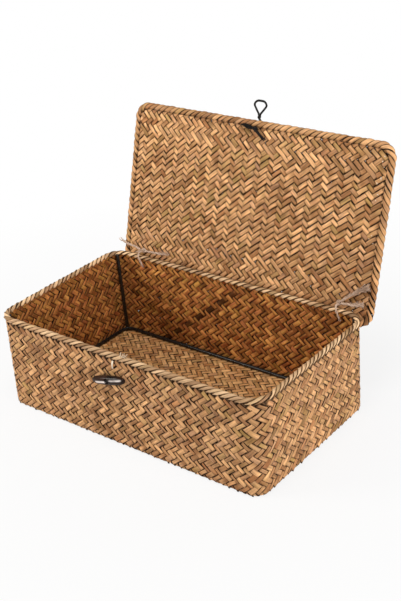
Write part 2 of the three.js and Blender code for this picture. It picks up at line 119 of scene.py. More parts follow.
def mixShaders(tree, share, first, second, output):
    mix = tree.nodes.new("ShaderNodeMixShader")
    feed(tree, mix, enumerate((share, first.outputs[0], second.outputs[0])))
    tree.links.new(mix.outputs[0], output.inputs["Surface"])


def spread(tree, value, low, high, toLow, toHigh):
    node = addNode(tree, "ShaderNodeMapRange", Value=value)
    feed(tree, node, (("From Min", low), ("From Max", high), ("To Min", toLow), ("To Max", toHigh)))
    return node.outputs["Result"]


def calculate(tree, operation, first, second):
    node = tree.nodes.new("ShaderNodeMath")
    node.operation = operation
    feed(tree, node, enumerate((first, second)))
    return node.outputs[0]


def newFinish(name, tint, look):
    finish = bpy.data.materials.new(name)
    finish.use_nodes = True
    tree = finish.node_tree
    shader = tree.nodes["Principled BSDF"]
    feed(tree, shader, (("Base Color", (*tint[:3], 1)), ("Roughness", look["roughness"]),
                        ("Specular IOR Level", look["gloss"])))
    return finish, tree, shader


def layFloor():
    bpy.ops.mesh.primitive_plane_add(size=view["floorSize"])
    floor = bpy.context.object
    floor.name = "paleFloor"
    paint, tree, shader = newFinish("paleFloor", view["floorTint"], view["floorLook"])
    white = tree.nodes.new("ShaderNodeEmission")
    place = tree.nodes.new("ShaderNodeTexCoord")
    length = tree.nodes.new("ShaderNodeVectorMath")
    length.operation = "LENGTH"
    tree.links.new(place.outputs["Object"], length.inputs[0])
    away = spread(tree, length.outputs["Value"], *view["floorClear"])
    share = calculate(tree, "MULTIPLY", away, seenStraight(tree))
    mixShaders(tree, share, shader, white, tree.nodes["Material Output"])
    floor.data.materials.append(paint)


def lightStudio():
    world = bpy.data.worlds.new("studio")
    bpy.context.scene.world = world
    world.use_nodes = True
    tree = world.node_tree
    sky = tree.nodes["Background"]
    feed(tree, sky, (("Color", view["skyTint"]), ("Strength", view["skyStrength"])))
    white = addNode(tree, "ShaderNodeBackground", Color=(1, 1, 1, 1))
    mixShaders(tree, seenStraight(tree), sky, white, tree.nodes["World Output"])
    for name, lamp in lamps.items():
        bpy.ops.object.light_add(type="AREA", location=lamp["place"])
        light = bpy.context.object
        light.name = name
        light.data.size = lamp["size"]
        light.data.energy = lamp["power"]
        light.data.color = lamp["tint"]
        light.rotation_euler = (Vector(view["target"]) - light.location).to_track_quat("-Z", "Y").to_euler()
    bpy.context.scene.view_settings.view_transform = "Standard"


placeCamera()
lightStudio()
layFloor()
print("camera, lamps and floor placed")


# finishes

def mixTint(tree, share, first, second, how="MIX"):
    mix = tree.nodes.new("ShaderNodeMix")
    mix.data_type = "RGBA"
    mix.blend_type = how
    feed(tree, mix, ((0, share), (6, first), (7, second)))
    return mix.outputs[2]


def readStrand(tree, name):
    node = tree.nodes.new("ShaderNodeAttribute")
    node.attribute_name = name
    return node.outputs["Fac"]


def strandPlaces(tree, along, around, turn=0.0):
    # a strand's own map, stretched: metres along it, turns around it
    strandUv = tree.nodes.new("ShaderNodeUVMap")
    strandUv.uv_map = "strandMap"
    places = strandUv.outputs["UV"]
    stretch = addNode(tree, "ShaderNodeMapping", Vector=places, Scale=(along, around, 1),
                      Rotation=(0, 0, turn))
    return stretch.outputs[0], places


def noiseAt(tree, places, scale, detail, roughness=0.6, distortion=0.0):
    noise = addNode(tree, "ShaderNodeTexNoise", Vector=places, Scale=scale, Detail=detail,
                    Roughness=roughness, Distortion=distortion)
    return noise.outputs["Fac"]


def strandNoise(tree, along, around, detail):
    return noiseAt(tree, strandPlaces(tree, along, around)[0], 1.0, detail)


def roughen(tree, shader, height, strength, distance):
    bump = addNode(tree, "ShaderNodeBump", Height=height, Strength=strength, Distance=distance)
    tree.links.new(bump.outputs[0], shader.inputs["Normal"])


straw = {
    "roughness": 0.5, "gloss": 0.12, "roughRange": (0.3, 0.7, 0.42, 0.62), "bump": (0.4, 0.0003),
    "olive": (0.40, 0.25, 0.07, 1), "russet": (0.44, 0.17, 0.06, 1), "rosy": (0.58, 0.33, 0.21, 1),
    # deep is the colour of painted shade, where a strand dives under a crossing strand
    "deep": (0.014, 0.005, 0.002, 1), "edge": (0.020, 0.007, 0.003, 1),
    "innerSideAndShadeTint": (0.88, 0.69, 0.47, 1), "innerRed": (1.06, 0.86, 0.9, 1), "innerOlive": (0.98, 1.1, 0.9, 1),
    "fibreMap": (70, 16, 3.0), "fibreRange": (0.28, 0.72, 0.74, 1.2),
    "streakMap": (34, 6, 1.5), "streakRange": (0.3, 0.7, 0.7, 1.32), "leanRange": (0.4, 0.6, 0.0, 1.0),
    "patchMap": (50, 0.5, 2.0), "rosyRange": (0.52, 0.75, 0.0, 0.45), "innerRange": (0.36, 0.62, 0.62, 1.2),
    "oliveRange": (0.3, 1.6, 0.0, 0.7), "russetRange": (-0.3, -1.6, 0.0, 0.7),
    # crown and crownRange lay painted shade along each strand's edges, in the creases between strands
    "crown": 0.25, "crownRange": (0.085, 0.16, 0.0, 1.0),
}


def strawFinish(name, pale, brown, inner=straw["innerSideAndShadeTint"], edge=straw["edge"]):
    # split seagrass: own tone and hue for each strand, fibres along it, with painted shade where it dives
    # under another and along its edges; inner faces get a darker, redder tint, partly the plait's own inner
    # side and partly painted shade
    finish, tree, shader = newFinish(name, pale, straw)
    fibres = strandNoise(tree, *straw["fibreMap"])
    patches = strandNoise(tree, *straw["patchMap"])
    streaks = strandNoise(tree, *straw["streakMap"])
    base = mixTint(tree, readStrand(tree, "strandTone"), brown, pale)
    hue = readStrand(tree, "strandHue")
    base = mixTint(tree, spread(tree, hue, *straw["oliveRange"]), base, straw["olive"])
    base = mixTint(tree, spread(tree, hue, *straw["russetRange"]), base, straw["russet"])
    base = mixTint(tree, spread(tree, patches, *straw["rosyRange"]), base, straw["rosy"])
    base = mixTint(tree, 1.0, base, spread(tree, fibres, *straw["fibreRange"]), "MULTIPLY")
    base = mixTint(tree, 1.0, base, spread(tree, streaks, *straw["streakRange"]), "MULTIPLY")
    # painted shade in the creases: each strand darkens along both its edges
    apart = addNode(tree, "ShaderNodeSeparateXYZ", Vector=strandPlaces(tree, 1, 1)[1])
    crown = calculate(tree, "PINGPONG", apart.outputs["Y"], straw["crown"])
    base = mixTint(tree, spread(tree, crown, *straw["crownRange"]), edge, base)
    # painted shade: the strand darkens towards deep where it dives under a crossing strand; a stained
    # strand's real darker stretch rides on the same value
    base = mixTint(tree, readStrand(tree, "strandShadeAndStain"), straw["deep"], base)
    # inner faces: darker and redder, partly the plait's own inner side and partly painted shade and reddish
    # bounce light inside the box, with random patches and hue
    innerSideAndShade = mixTint(tree, 1.0, base, inner, "MULTIPLY")
    innerSideAndShade = mixTint(tree, 1.0, innerSideAndShade, spread(tree, patches, *straw["innerRange"]), "MULTIPLY")
    leaning = spread(tree, streaks, *straw["leanRange"])
    lean = mixTint(tree, leaning, straw["innerRed"], straw["innerOlive"])
    innerSideAndShade = mixTint(tree, 1.0, innerSideAndShade, lean, "MULTIPLY")
    base = mixTint(tree, readStrand(tree, "strandInner"), base, innerSideAndShade)
    feed(tree, shader, (("Base Color", base), ("Roughness", spread(tree, fibres, *straw["roughRange"]))))
    roughen(tree, shader, fibres, *straw["bump"])
    return finish


strawWall = strawFinish("strawWall", (0.84, 0.467, 0.213, 1), (0.345, 0.162, 0.065, 1))
# the base's straw is a lighter copy of the wall's: painted light on the box's floor
strawBase = strawFinish("strawBase", (1.0, 0.57, 0.235, 1), (0.54, 0.25, 0.088, 1))
strawLid = strawFinish("strawLid", (0.98, 0.545, 0.25, 1), (0.42, 0.200, 0.079, 1), inner=(1.0, 1.0, 1.0, 1))
# paler than the wall's straw: on the rim wraps this is painted light on the rim's top; the stray fibres use
# it as their own paler colour
strawRim = strawFinish("strawRim", (0.97, 0.65, 0.37, 1), (0.42, 0.24, 0.12, 1), inner=(1.0, 0.92, 0.8, 1),
                       edge=(0.15, 0.075, 0.03, 1))
strawFrayed = strawFinish("strawFrayed", (1.0, 0.88, 0.70, 1), (0.80, 0.62, 0.42, 1),
                          edge=(0.70, 0.50, 0.32, 1))

wirePaint = {
    "plain": (0.012, 0.010, 0.008), "tint": (0.010, 0.008, 0.007, 1), "worn": (0.075, 0.052, 0.036, 1),
    "roughness": 0.3, "gloss": 0.5, "noise": (260.0, 3.0), "wornRange": (0.62, 0.8, 0.0, 0.6),
    "roughRange": (0.3, 0.7, 0.2, 0.42), "bump": (0.25, 0.0004),
}


def wireFinish():
    # black paint with small runs and rubbed places
    finish, tree, shader = newFinish("blackWire", wirePaint["plain"], wirePaint)
    place = tree.nodes.new("ShaderNodeTexCoord")
    runs = noiseAt(tree, place.outputs["Object"], *wirePaint["noise"])
    tint = mixTint(tree, spread(tree, runs, *wirePaint["wornRange"]), wirePaint["tint"], wirePaint["worn"])
    feed(tree, shader, (("Base Color", tint), ("Roughness", spread(tree, runs, *wirePaint["roughRange"]))))
    roughen(tree, shader, runs, *wirePaint["bump"])
    return finish


spun = {
    "light": (1.0, 0.81, 0.66, 1), "dark": (0.60, 0.41, 0.29, 1), "shaded": (0.7, 0.64, 0.6, 1),
    "roughness": 0.85, "gloss": 0.15, "fibreMap": (260, 5, 4.0), "fibreRange": (0.3, 0.7, 0.0, 1.0),
    "bump": (0.5, 0.0003),
}


def twineFinish():
    # spun fibres: fine streaks along each ply
    finish, tree, shader = newFinish("twineBeige", spun["light"], spun)
    fibres = strandNoise(tree, *spun["fibreMap"])
    base = mixTint(tree, spread(tree, fibres, *spun["fibreRange"]), spun["dark"], spun["light"])
    shaded = mixTint(tree, 1.0, base, spun["shaded"], "MULTIPLY")
    base = mixTint(tree, readStrand(tree, "strandTone"), shaded, base)
    tree.links.new(base, shader.inputs["Base Color"])
    roughen(tree, shader, fibres, *spun["bump"])
    return finish


braid = {
    "plain": (0.011, 0.010, 0.010), "under": (0.007, 0.006, 0.006, 1), "over": (0.022, 0.019, 0.017, 1),
    "roughness": 0.7, "gloss": 0.2, "threads": (900, 5, 0.6), "bump": (0.4, 0.0002),
}


def braidFinish():
    # the elastic's black textile cover: crossing fine threads
    finish, tree, shader = newFinish("blackBraid", braid["plain"], braid)
    threads = strandPlaces(tree, *braid["threads"])[0]
    weave = addNode(tree, "ShaderNodeTexChecker", Vector=threads, Scale=1.0)
    # painted shade: the checker's darker cells stand for threads in shade where they pass under crossing
    # threads
    tint = mixTint(tree, weave.outputs["Fac"], braid["under"], braid["over"])
    tree.links.new(tint, shader.inputs["Base Color"])
    roughen(tree, shader, weave.outputs["Fac"], *braid["bump"])
    return finish


horn = {
    "plain": (0.03, 0.019, 0.014), "dark": (0.004, 0.003, 0.002, 1), "brown": (0.042, 0.019, 0.011, 1),
    "pale": (1.0, 0.88, 0.82, 1), "roughness": 0.14, "gloss": 0.12, "streakMap": (70, 3.2),
    "streakNoise": (1.0, 5.0, 0.55, 0.6),
    "brownRange": (0.35, 0.6, 0.0, 1.0), "brokenRange": (0.36, 0.52, 0.6, 1.0),
}


def hornFinish():
    # polished horn: dark brown, with broken pale streaks along the bar that are partly the horn's own streaks
    # and partly a painted highlight
    finish, tree, shader = newFinish("polishedHorn", horn["plain"], horn)
    streaks = noiseAt(tree, strandPlaces(tree, *horn["streakMap"])[0], *horn["streakNoise"])
    base = mixTint(tree, spread(tree, streaks, *horn["brownRange"]), horn["dark"], horn["brown"])
    broken = spread(tree, streaks, *horn["brokenRange"])
    pale = calculate(tree, "MULTIPLY", readStrand(tree, "paleStreakAndHighlight"), broken)
    base = mixTint(tree, pale, base, horn["pale"])
    tree.links.new(base, shader.inputs["Base Color"])
    return finish


blackWire = wireFinish()
twine = twineFinish()
blackBraid = braidFinish()
polishedHorn = hornFinish()
print("finishes mixed")


# laying strands: long rings of points with closed ends, which no operator can lace

lens = ((-1, 0), (-0.8, -0.75), (0, -1), (0.8, -0.75), (1, 0), (0.8, 0.75), (0, 1), (-0.8, 0.75))
round6 = tuple((math.cos(k * math.pi / 3), math.sin(k * math.pi / 3)) for k in range(6))
round3 = tuple((math.cos(k * math.pi / 1.5), math.sin(k * math.pi / 1.5)) for k in range(3))
curveSteps = 24
mapShift = 50
steep = 0.9


def unit(v):
    return v / np.maximum(np.linalg.norm(v, axis=-1, keepdims=True), 1e-12)


def ease(share):
    share = np.clip(share, 0, 1)
    return share * share * (3 - 2 * share)


def drift(count, every):
    # smooth chance variation along a strand, about 1 either way
    knots = max(2, int(count / every) + 2)
    marks = dice.normal(0, 1, knots)
    where = np.linspace(0, knots - 1.001, count)
    low = where.astype(int)
    share = ease(where - low)
    return marks[low] * (1 - share) + marks[low + 1] * share


def runLength(line):
    return np.concatenate(([0], np.cumsum(np.linalg.norm(np.diff(line, axis=0), axis=1))))


def smoothLine(points, step):
    # a centripetal curve through the points, sampled at even steps
    points = np.array(points, float)
    ends = np.concatenate(([2 * points[0] - points[1]], points, [2 * points[-1] - points[-2]]))
    gaps = np.sqrt(np.linalg.norm(np.diff(ends, axis=0), axis=1))
    fine = []
    for k in range(1, len(ends) - 2):
        a, b, c = gaps[k - 1:k + 2]
        p, q, r, s = ends[k - 1:k + 3]
        start = ((q - p) / a - (r - p) / (a + b) + (r - q) / b) * b
        end = ((r - q) / b - (s - q) / (b + c) + (s - r) / c) * b
        t = np.linspace(0, 1, curveSteps, endpoint=False)[:, None]
        squared, cubed = 3 * (r - q) - 2 * start - end, 2 * (q - r) + start + end
        fine.append(q + start * t + squared * t ** 2 + cubed * t ** 3)
    fine = np.concatenate(fine + [points[-1:]])
    run = runLength(fine)
    even = np.linspace(0, run[-1], max(3, int(run[-1] / step) + 1))
    return np.column_stack([np.interp(even, run, fine[:, axis]) for axis in range(3)])


def carried(line):
    # a side direction that is carried along a line without twisting
    tangent = unit(np.gradient(line, axis=0))
    side = np.cross(tangent[0], (0, 0, 1) if abs(tangent[0][2]) < steep else (1, 0, 0))
    sides = []
    for t in tangent:
        side = side - t * (side @ t)
        side = side / np.linalg.norm(side)
        sides.append(side)
    return np.array(sides), tangent


def ribbon(centre, normal, halfWidth, halfThick, roll=0.0, section=lens):
    # the rings of one strand, with its places along it
    tangent = unit(np.gradient(centre, axis=0))
    across = unit(np.cross(normal, tangent))
    upward = np.cross(tangent, across)
    turn = np.broadcast_to(np.asarray(roll, float), (len(centre),))[:, None]
    across, upward = (across * np.cos(turn) + upward * np.sin(turn),
                      upward * np.cos(turn) - across * np.sin(turn))
    wide = np.broadcast_to(np.asarray(halfWidth, float), (len(centre),))[:, None]
    thick = np.broadcast_to(np.asarray(halfThick, float), (len(centre),))[:, None]
    rings = [centre + across * wide * x + upward * thick * y for x, y in section]
    return np.stack(rings, axis=1), runLength(centre)


def strand(rings, along, tone=0.5, hue=0.0, shade=1.0, inner=None):
    # a strand's rings with its looks: tone, hue and painted shade along it, and the side that faces inwards
    count, sides = rings.shape[:2]
    inner = np.zeros(sides) if inner is None else np.asarray(inner, float)
    shade = np.asarray(shade, float).reshape(-1, sides if np.ndim(shade) == 2 else 1)
    looks = {
        "strandTone": np.repeat(np.broadcast_to(tone, (count,)), sides),
        "strandHue": np.repeat(np.broadcast_to(hue, (count,)), sides),
        "strandShadeAndStain": np.broadcast_to(shade, (count, sides)).reshape(-1),
        "strandInner": np.tile(inner, count),
    }
    return {"rings": rings, "along": along, "looks": looks}


def layStrands(name, strands, finish, body, replaced):
    places, faces, maps = [], [], []
    start = 0
    for one in strands:
        rings, along = one["rings"], one["along"]
        count, sides = rings.shape[:2]
        places.append(rings.reshape(-1, 3))
        ids = start + np.arange(count * sides).reshape(count, sides)
        after = np.roll(ids, -1, axis=1)
        faces.extend(np.stack((ids[:-1], after[:-1], after[1:], ids[1:]), axis=-1).reshape(-1, 4).tolist())
        faces.append(ids[0, ::-1].tolist())
        faces.append(ids[-1].tolist())
        along = along + dice.uniform(0, mapShift)
        row = np.arange(sides) / sides
        low = np.broadcast_to(row, (count - 1, sides))
        high = low + 1 / sides
        here = np.broadcast_to(along[:-1, None], low.shape)
        there = np.broadcast_to(along[1:, None], low.shape)
        maps.append(np.stack((here, low, here, high, there, high, there, low), axis=-1).reshape(-1))
        maps.append(np.column_stack((np.full(sides, along[0]), row[::-1])).reshape(-1))
        maps.append(np.column_stack((np.full(sides, along[-1]), row)).reshape(-1))
        start += count * sides
    mesh = bpy.data.meshes.new(name)
    mesh.from_pydata(np.concatenate(places).tolist(), [], faces)
    mesh.uv_layers.new(name="strandMap").data.foreach_set("uv", np.concatenate(maps).astype(np.float32))
    for look in strands[0]["looks"]:
        values = np.concatenate([one["looks"][look] for one in strands]).astype(np.float32)
        mesh.attributes.new(look, "FLOAT", "POINT").data.foreach_set("value", values)
    mesh.polygons.foreach_set("use_smooth", np.ones(len(mesh.polygons), bool))
    mesh.materials.append(finish)
    mesh.update()
    piece = bpy.data.objects.new(name, mesh)
    bpy.context.scene.collection.objects.link(piece)
    if body:
        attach(piece, body)
    if replaced:
        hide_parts(*replaced)
    return piece


# the lid's points while it stands open: reach runs from the hinge edge, depth from outside to inside

lid = {
    "halfLength": 161.5 * mm, "depth": 180.8 * mm, "corner": 13.5 * mm, "roll": 3.5 * mm,
    "backFromHinge": 1.8 * mm, "middleAboveHinge": 17.1 * mm, "panelInset": 2.2 * mm,
    "hingeRows": 36 * mm, "frontRows": 28 * mm, "lead": -0.15, "rowLead": 0.04,
    "rightShade": 0.25, "row": 3.43 * mm, "columns": (-44, 42), "columnRule": (-152.4, 14.7, 0.0813),
    "columnsLeft": 9,
}


def joint(name):
    return next(j for j in frame["joints"] if j["name"] == name)


hinge = joint("lid_hinge")
openTurn = Matrix.Rotation(-math.radians(hinge["range_deg"][1]), 4, "X")
lidMatrix = np.array(Matrix.Translation(hinge["pos_m"]) @ openTurn)
lidMiddleY = lid["backFromHinge"] - lid["depth"] / 2


def toOpen(places):
    return np.asarray(places, float) @ lidMatrix[:3, :3].T + lidMatrix[:3, 3]


def turned(normals):
    return np.asarray(normals, float) @ lidMatrix[:3, :3].T


def lidPoints(points):
    # points are (x, reach, depth) in millimetres
    return toOpen([(x * mm, lid["backFromHinge"] - reach * mm, lid["middleAboveHinge"] - depth * mm)
                   for x, reach, depth in points])


# loose ends of twine, and the elastic loop

twineLook = {
    "diameter": 2.2 * mm, "turn": 9 * mm, "step": 0.8 * mm, "unravel": 10 * mm, "hair": 1.75 * mm,
    "fluff": 4.6 * mm, "fluffThick": 0.32 * mm, "fluffTone": 0.4,
    "plyOut": 0.32, "plyLoose": 0.55, "plyApart": (0.5, 1.0), "plyThick": 0.33, "plyThinned": 0.62,
    "plyTone": (0.3, 1.0), "uncurl": (1.2, 0.7), "squashed": 0.3,
    "shortEnd": ((-2.5, -.5, 2.2), (-6, -2.2, 3.2), (-10, -5, 3.6)), "shortTwine": 1.5 * mm,
    "shortTurn": 8 * mm, "shortUnravel": 5 * mm,
}
hairLook = {
    "points": 7, "start": (2.2, 1.0), "lastStart": 0.9, "share": (0.12, 0.3), "root": 0.45,
    "off": (0.35, 1.0), "bow": 1.4, "stray": 0.3 * mm, "tip": 0.35, "tone": (0.5, 1.0), "thick": 0.2 * mm,
}
knotPlace = {"left": (-134, 17.5, 4.9), "right": (127.5, 17.5, 4.9)}
tails = {
    "hinge_tail_left_outer": {
        "side": "left", "via": ((-3.4, .3, 2), (-12, 2.2, 1.2), (-25, 3.5, .4), (-37, 7, .8)),
        "plies": 2, "hairs": 12, "fluff": 0, "cord": True},
    "hinge_tail_left_inner": {
        "side": "left", "via": ((3.4, .2, 2), (12, .4, 1), (24, .8, -.4), (36, 2.8, -.8)),
        "plies": 2, "hairs": 12, "fluff": 12, "cord": True},
    "hinge_tail_right_outer": {
        "side": "right", "via": ((2.7, 2.1, 2), (10.5, 9.2, 1), (21, 17.5, 0), (31.5, 23, .2)),
        "plies": 3, "hairs": 8, "fluff": 110, "cord": True},
    "hinge_tail_right_inner": {
        "side": "right", "via": ((3.4, .2, 2), (11, 1.4, 4.6), (20, 2.6, 4.2), (28, 3.6, .4)),
        "plies": 3, "hairs": 12, "fluff": 60, "cord": False},
}


def twist(line, diameter, turn, plies=2, unravel=0.0):
    # plies wound round a line; the last stretch comes undone
    side, tangent = carried(line)
    other = np.cross(tangent, side)
    run = runLength(line)
    loose = ease((run - (run[-1] - unravel)) / unravel) if unravel else np.zeros(len(run))
    uncurl, more = twineLook["uncurl"]
    strands = []
    for ply in range(plies):
        angle = 2 * math.pi * (ply / plies + run / turn) - loose * (uncurl + more * ply)
        out = side * np.cos(angle)[:, None] + other * np.sin(angle)[:, None]
        opened = twineLook["plyLoose"] * loose * dice.uniform(*twineLook["plyApart"])
        reach = diameter * (twineLook["plyOut"] + opened)
        thick = diameter * twineLook["plyThick"] * (1 - twineLook["plyThinned"] * loose)
        rings, along = ribbon(line + out * np.asarray(reach)[:, None], out, thick, thick, section=round6)
        strands.append(strand(rings, along, tone=dice.uniform(*twineLook["plyTone"])))
    return strands


def hair(line, most, diameter, thickness=hairLook["thick"], palest=1.0):
    # one fibre that leaves the line and stands off a little way
    side, tangent = carried(line)
    other = np.cross(tangent, side)
    start = dice.beta(*hairLook["start"]) * hairLook["lastStart"]
    count = hairLook["points"]
    share = np.linspace(start, min(1, start + dice.uniform(*hairLook["share"])), count)
    where = np.linspace(0, 1, len(line))
    along = np.column_stack([np.interp(share, where, line[:, axis]) for axis in range(3)])
    first = min(len(line) - 1, int(start * len(line)))
    angle = dice.uniform(0, 2 * math.pi)
    out = side[first] * math.cos(angle) + other[first] * math.sin(angle)
    tip = np.linspace(0, 1, count)
    root = diameter * hairLook["root"]
    off = root + (most - root) * dice.uniform(*hairLook["off"]) * tip ** hairLook["bow"]
    centre = along + out * off[:, None]
    centre = centre + np.cross(tangent[first], out) * (dice.normal(0, hairLook["stray"]) * tip ** 2)[:, None]
    thick = np.linspace(1, hairLook["tip"], count) * thickness
    rings, run = ribbon(centre, np.tile(out, (count, 1)), thick, thick, section=round3)
    return strand(rings, run, tone=dice.uniform(*hairLook["tone"]) * palest)


def hairs(count, *looks):
    return [hair(*looks) for _ in range(count)]


def fromKnot(place, via):
    # points given from a knot's middle, as x, reach and depth
    return lidPoints([[k + v for k, v in zip(place, one)] for one in via])


def spinTails():
    for node, tail in tails.items():
        line = smoothLine(fromKnot(knotPlace[tail["side"]], tail["via"]), twineLook["step"])
        strands = twist(line, twineLook["diameter"], twineLook["turn"], tail["plies"], twineLook["unravel"])
        strands += hairs(tail["hairs"], line, twineLook["hair"], twineLook["diameter"])
        piece = layStrands(node + "_twine", strands, twine, "lid", [node])
        if tail["fluff"]:
            fluff = hairs(tail["fluff"], line, twineLook["fluff"], twineLook["diameter"],
                          twineLook["fluffThick"], twineLook["fluffTone"])
            layStrands(node + "_fluff", fluff, twine, "lid", [])
        if node == "hinge_tail_left_outer":
            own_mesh(piece)


loop = {
    "x": 1.5, "pivotReach": 186.4, "diameter": 1.4 * mm, "covered": 2.4 * mm, "step": 0.6 * mm,
    "half": ((.85, 3.5), (1.2, 4.9), (4.65, 9.5), (7.5, 14.3), (4.95, 17.75)), "top": (0, 18.5),
}


def blackTube(line, diameter):
    side, _ = carried(line)
    return strand(*ribbon(line, side, diameter / 2, diameter / 2, section=round6))


def bendLoop():
    sides = [(-s, out) for s, out in loop["half"]] + [loop["top"]] + list(reversed(loop["half"]))
    places = fromKnot((loop["x"], loop["pivotReach"], 0), [(*side, 0) for side in sides])
    line = smoothLine(places, loop["step"])
    cord = blackTube(line, loop["covered"])
    piece = layStrands("elastic_loop", [cord], blackBraid, "loop", ["closure_loop"])


spinTails()
bendLoop()
print("twine ends and elastic loop laid")


# plaiting: a lap pattern gives +1 where the first family passes over, -1 where it passes under

plait = {
    "halfThick": 0.84 * mm, "thickVary": 0.3, "lift": 0.86 * mm, "fill": 0.515, "waist": 1.5,
    "steps": 6, "shortest": 3, "lapRows": 4, "dive": 0.36, "wobble": 0.06, "level": 0.94, "bulge": 0.1,
    "widthVary": 0.05, "widthDrift": 0.7, "sway": 0.2 * mm, "swayX": 0.65, "swayY": 0.76, "tip": 0.11,
    "toneMiddle": 0.5, "toneVary": 0.24, "toneDrift": 0.3, "hueVary": 0.48, "hueDrift": 0.46,
    "swayEvery": 9, "widthEvery": 12, "toneEvery": 11, "hueEvery": 14, "tipEvery": 7,
    "levelFrom": 0.12, "levelOver": 0.72, "shownFrom": 0.22, "shownOver": 0.64, "edgeShade": 0.8,
    "innerSides": (0.5, 1, 1, 1, 0.5, 0, 0, 0),
}


def lapHeight(laps, where, lead):
    # height along a strand that follows its laps: level over each float, then a quick dive;
    # lead lengthens the first family's floats and shortens the other's
    low = np.clip(np.floor(where).astype(int), 0, len(laps) - 2)
    here, there = laps[low], laps[low + 1]
    wobble = dice.normal(0, plait["wobble"], len(laps))[low]
    share = ease((where - low - 0.5 - lead * (here - there) / 2 - wobble) / plait["dive"] + 0.5)
    bulge = plait["bulge"] * np.sin(math.pi * np.clip(where - low, 0, 1)) * (here == there)
    return (here * (1 - share) + there * share) * plait["level"] + bulge * here


def rowRule(column, row):
    # two over, two under, in level rows
    return np.where(row % plait["lapRows"] < plait["lapRows"] / 2, 1.0, -1.0)


def plaitStrand(places, height, pitch, bias=0.0, coveredShade=1.0, waist=plait["waist"], dark=1.0):
    # places gives the surface's points and normals for a sideways sway and a lift;
    # a covered stretch of the outer face can get painted shade, and dark darkens a stretch of both faces as a
    # darker strand's own colour
    count = len(height)
    centre, normal = places(drift(count, plait["swayEvery"]) * plait["sway"], height * plait["lift"])
    # painted shade: each face darkens where the strand dives under crossing strands, and both edges darken
    # along the gaps between strands
    level = ease((np.abs(height) - plait["levelFrom"]) / plait["levelOver"])
    shown, hidden = (ease((way * height - plait["shownFrom"]) / plait["shownOver"]) for way in (1, -1))
    edge = plait["edgeShade"] * level
    shade = np.column_stack((edge, hidden, hidden, hidden, edge, shown * coveredShade, shown * coveredShade, shown * coveredShade))
    shade = shade * np.broadcast_to(dark, (count,))[:, None]
    vary = dice.normal(0, 1) + plait["widthDrift"] * drift(count, plait["widthEvery"])
    width = pitch * plait["fill"] * (1 + plait["widthVary"] * vary)
    width = width * (waist + (1 - waist) * level)
    tone = plait["toneMiddle"] + bias + dice.normal(0, plait["toneVary"])
    tone = np.clip(tone + plait["toneDrift"] * drift(count, plait["toneEvery"]), 0, 1)
    hue = dice.normal(0, plait["hueVary"]) + plait["hueDrift"] * drift(count, plait["hueEvery"])
    thick = plait["halfThick"] * (1 + plait["thickVary"] - plait["thickVary"] * level)
    rings, along = ribbon(centre, normal, width, thick, drift(count, plait["tipEvery"]) * plait["tip"])
    return strand(rings, along, tone, hue, shade, plait["innerSides"])


# the box's wall: strands climb both ways round it at a slant, lapped two over, two under in level rows

wall = {
    "cell": 8.23 * mm, "row": 3.4 * mm, "sideSpread": 1.13, "cornerSpread": 1.06,
    "rimCorner": 20 * mm, "baseCorner": 14 * mm, "lengthFlare": 5 * mm, "widthFlare": -1.4 * mm,
    "beadRadius": 2.75 * mm, "edgeRadius": 2.25 * mm, "edgeHeight": 4 * mm, "tuckUnder": 8 * mm,
    "edgeLift": 0.45 * mm, "lead": 0.04, "levelRow": 87.4 * mm, "risingEnd": 100.4 * mm,
    "fallingEnd": 103.5 * mm, "alternate": 0.12, "wideNarrow": 0.17, "waist": 1.64,
    "coveredFrom": 98.6 * mm, "coveredOver": 1.6 * mm, "coveredDark": 0.9,
    "stainedStrand": 12, "stainedRows": (-1, 26), "stainOver": 2, "stain": 0.8,
}
_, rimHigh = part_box("rim_binding")
boxHeight = rimHigh[2]
rimHalfX = rimHigh[0] - wall["beadRadius"]
rimHalfY = rimHigh[1] - wall["beadRadius"]
beadHeight = boxHeight - wall["beadRadius"]
cornerX = np.array([0, -1, -1, -1, -1, 1, 1, 1, 1, 0])
cornerY = np.array([1, 1, 1, -1, -1, -1, -1, 1, 1, 1])
cornerTurn = np.array([1, 1, 2, 2, 3, 3, 4, 4, 5, 5]) * math.pi / 2


def roundKnots(halfX, halfY, corner, sideSpread=1.0, cornerSpread=1.0):
    # shares of the way round a rounded rectangle at which its sides and corners start
    long, short = halfX - corner, 2 * (halfY - corner) * sideSpread
    bend = math.pi / 2 * corner * cornerSpread
    runs = np.array([long, bend, short, bend, 2 * long, bend, short, bend, long])
    return np.concatenate(([0], np.cumsum(runs))) / runs.sum(), runs.sum()


def roundRect(share, knots, halfX, halfY, corner, outset):
    share = share % 1
    turn = np.interp(share, knots, cornerTurn)
    x = np.interp(share, knots, cornerX) * (halfX - corner) + (corner + outset) * np.cos(turn)
    y = np.interp(share, knots, cornerY) * (halfY - corner) + (corner + outset) * np.sin(turn)
    return x, y, turn


def wallSize(z):
    # half length, half width and corner of the wall at a height
    rise = z / boxHeight
    halfX = rimHalfX - (1 - rise) * wall["lengthFlare"] / 2
    halfY = rimHalfY - (1 - rise) * wall["widthFlare"] / 2
    return halfX, halfY, wall["baseCorner"] + rise * (wall["rimCorner"] - wall["baseCorner"])


wallKnots, wallRound = roundKnots(*wallSize(boxHeight / 2), wall["sideSpread"], wall["cornerSpread"])
rounds = round(wallRound / wall["cell"])
strandPitch = 1 / math.hypot(rounds / wallRound, 0.5 / wall["row"])
fullLaps = math.floor((wall["levelRow"] - wall["edgeHeight"]) / wall["row"] / plait["lapRows"])
wallFoot = wall["levelRow"] - plait["lapRows"] * wall["row"] * fullLaps


def wallSurface(share, outset, z):
    x, y, turn = roundRect(share, wallKnots, *wallSize(z), outset)
    return np.column_stack((x, y, z)), turn


def faced(turn, outward, upward):
    return np.column_stack((np.cos(turn) * outward, np.sin(turn) * outward, upward))


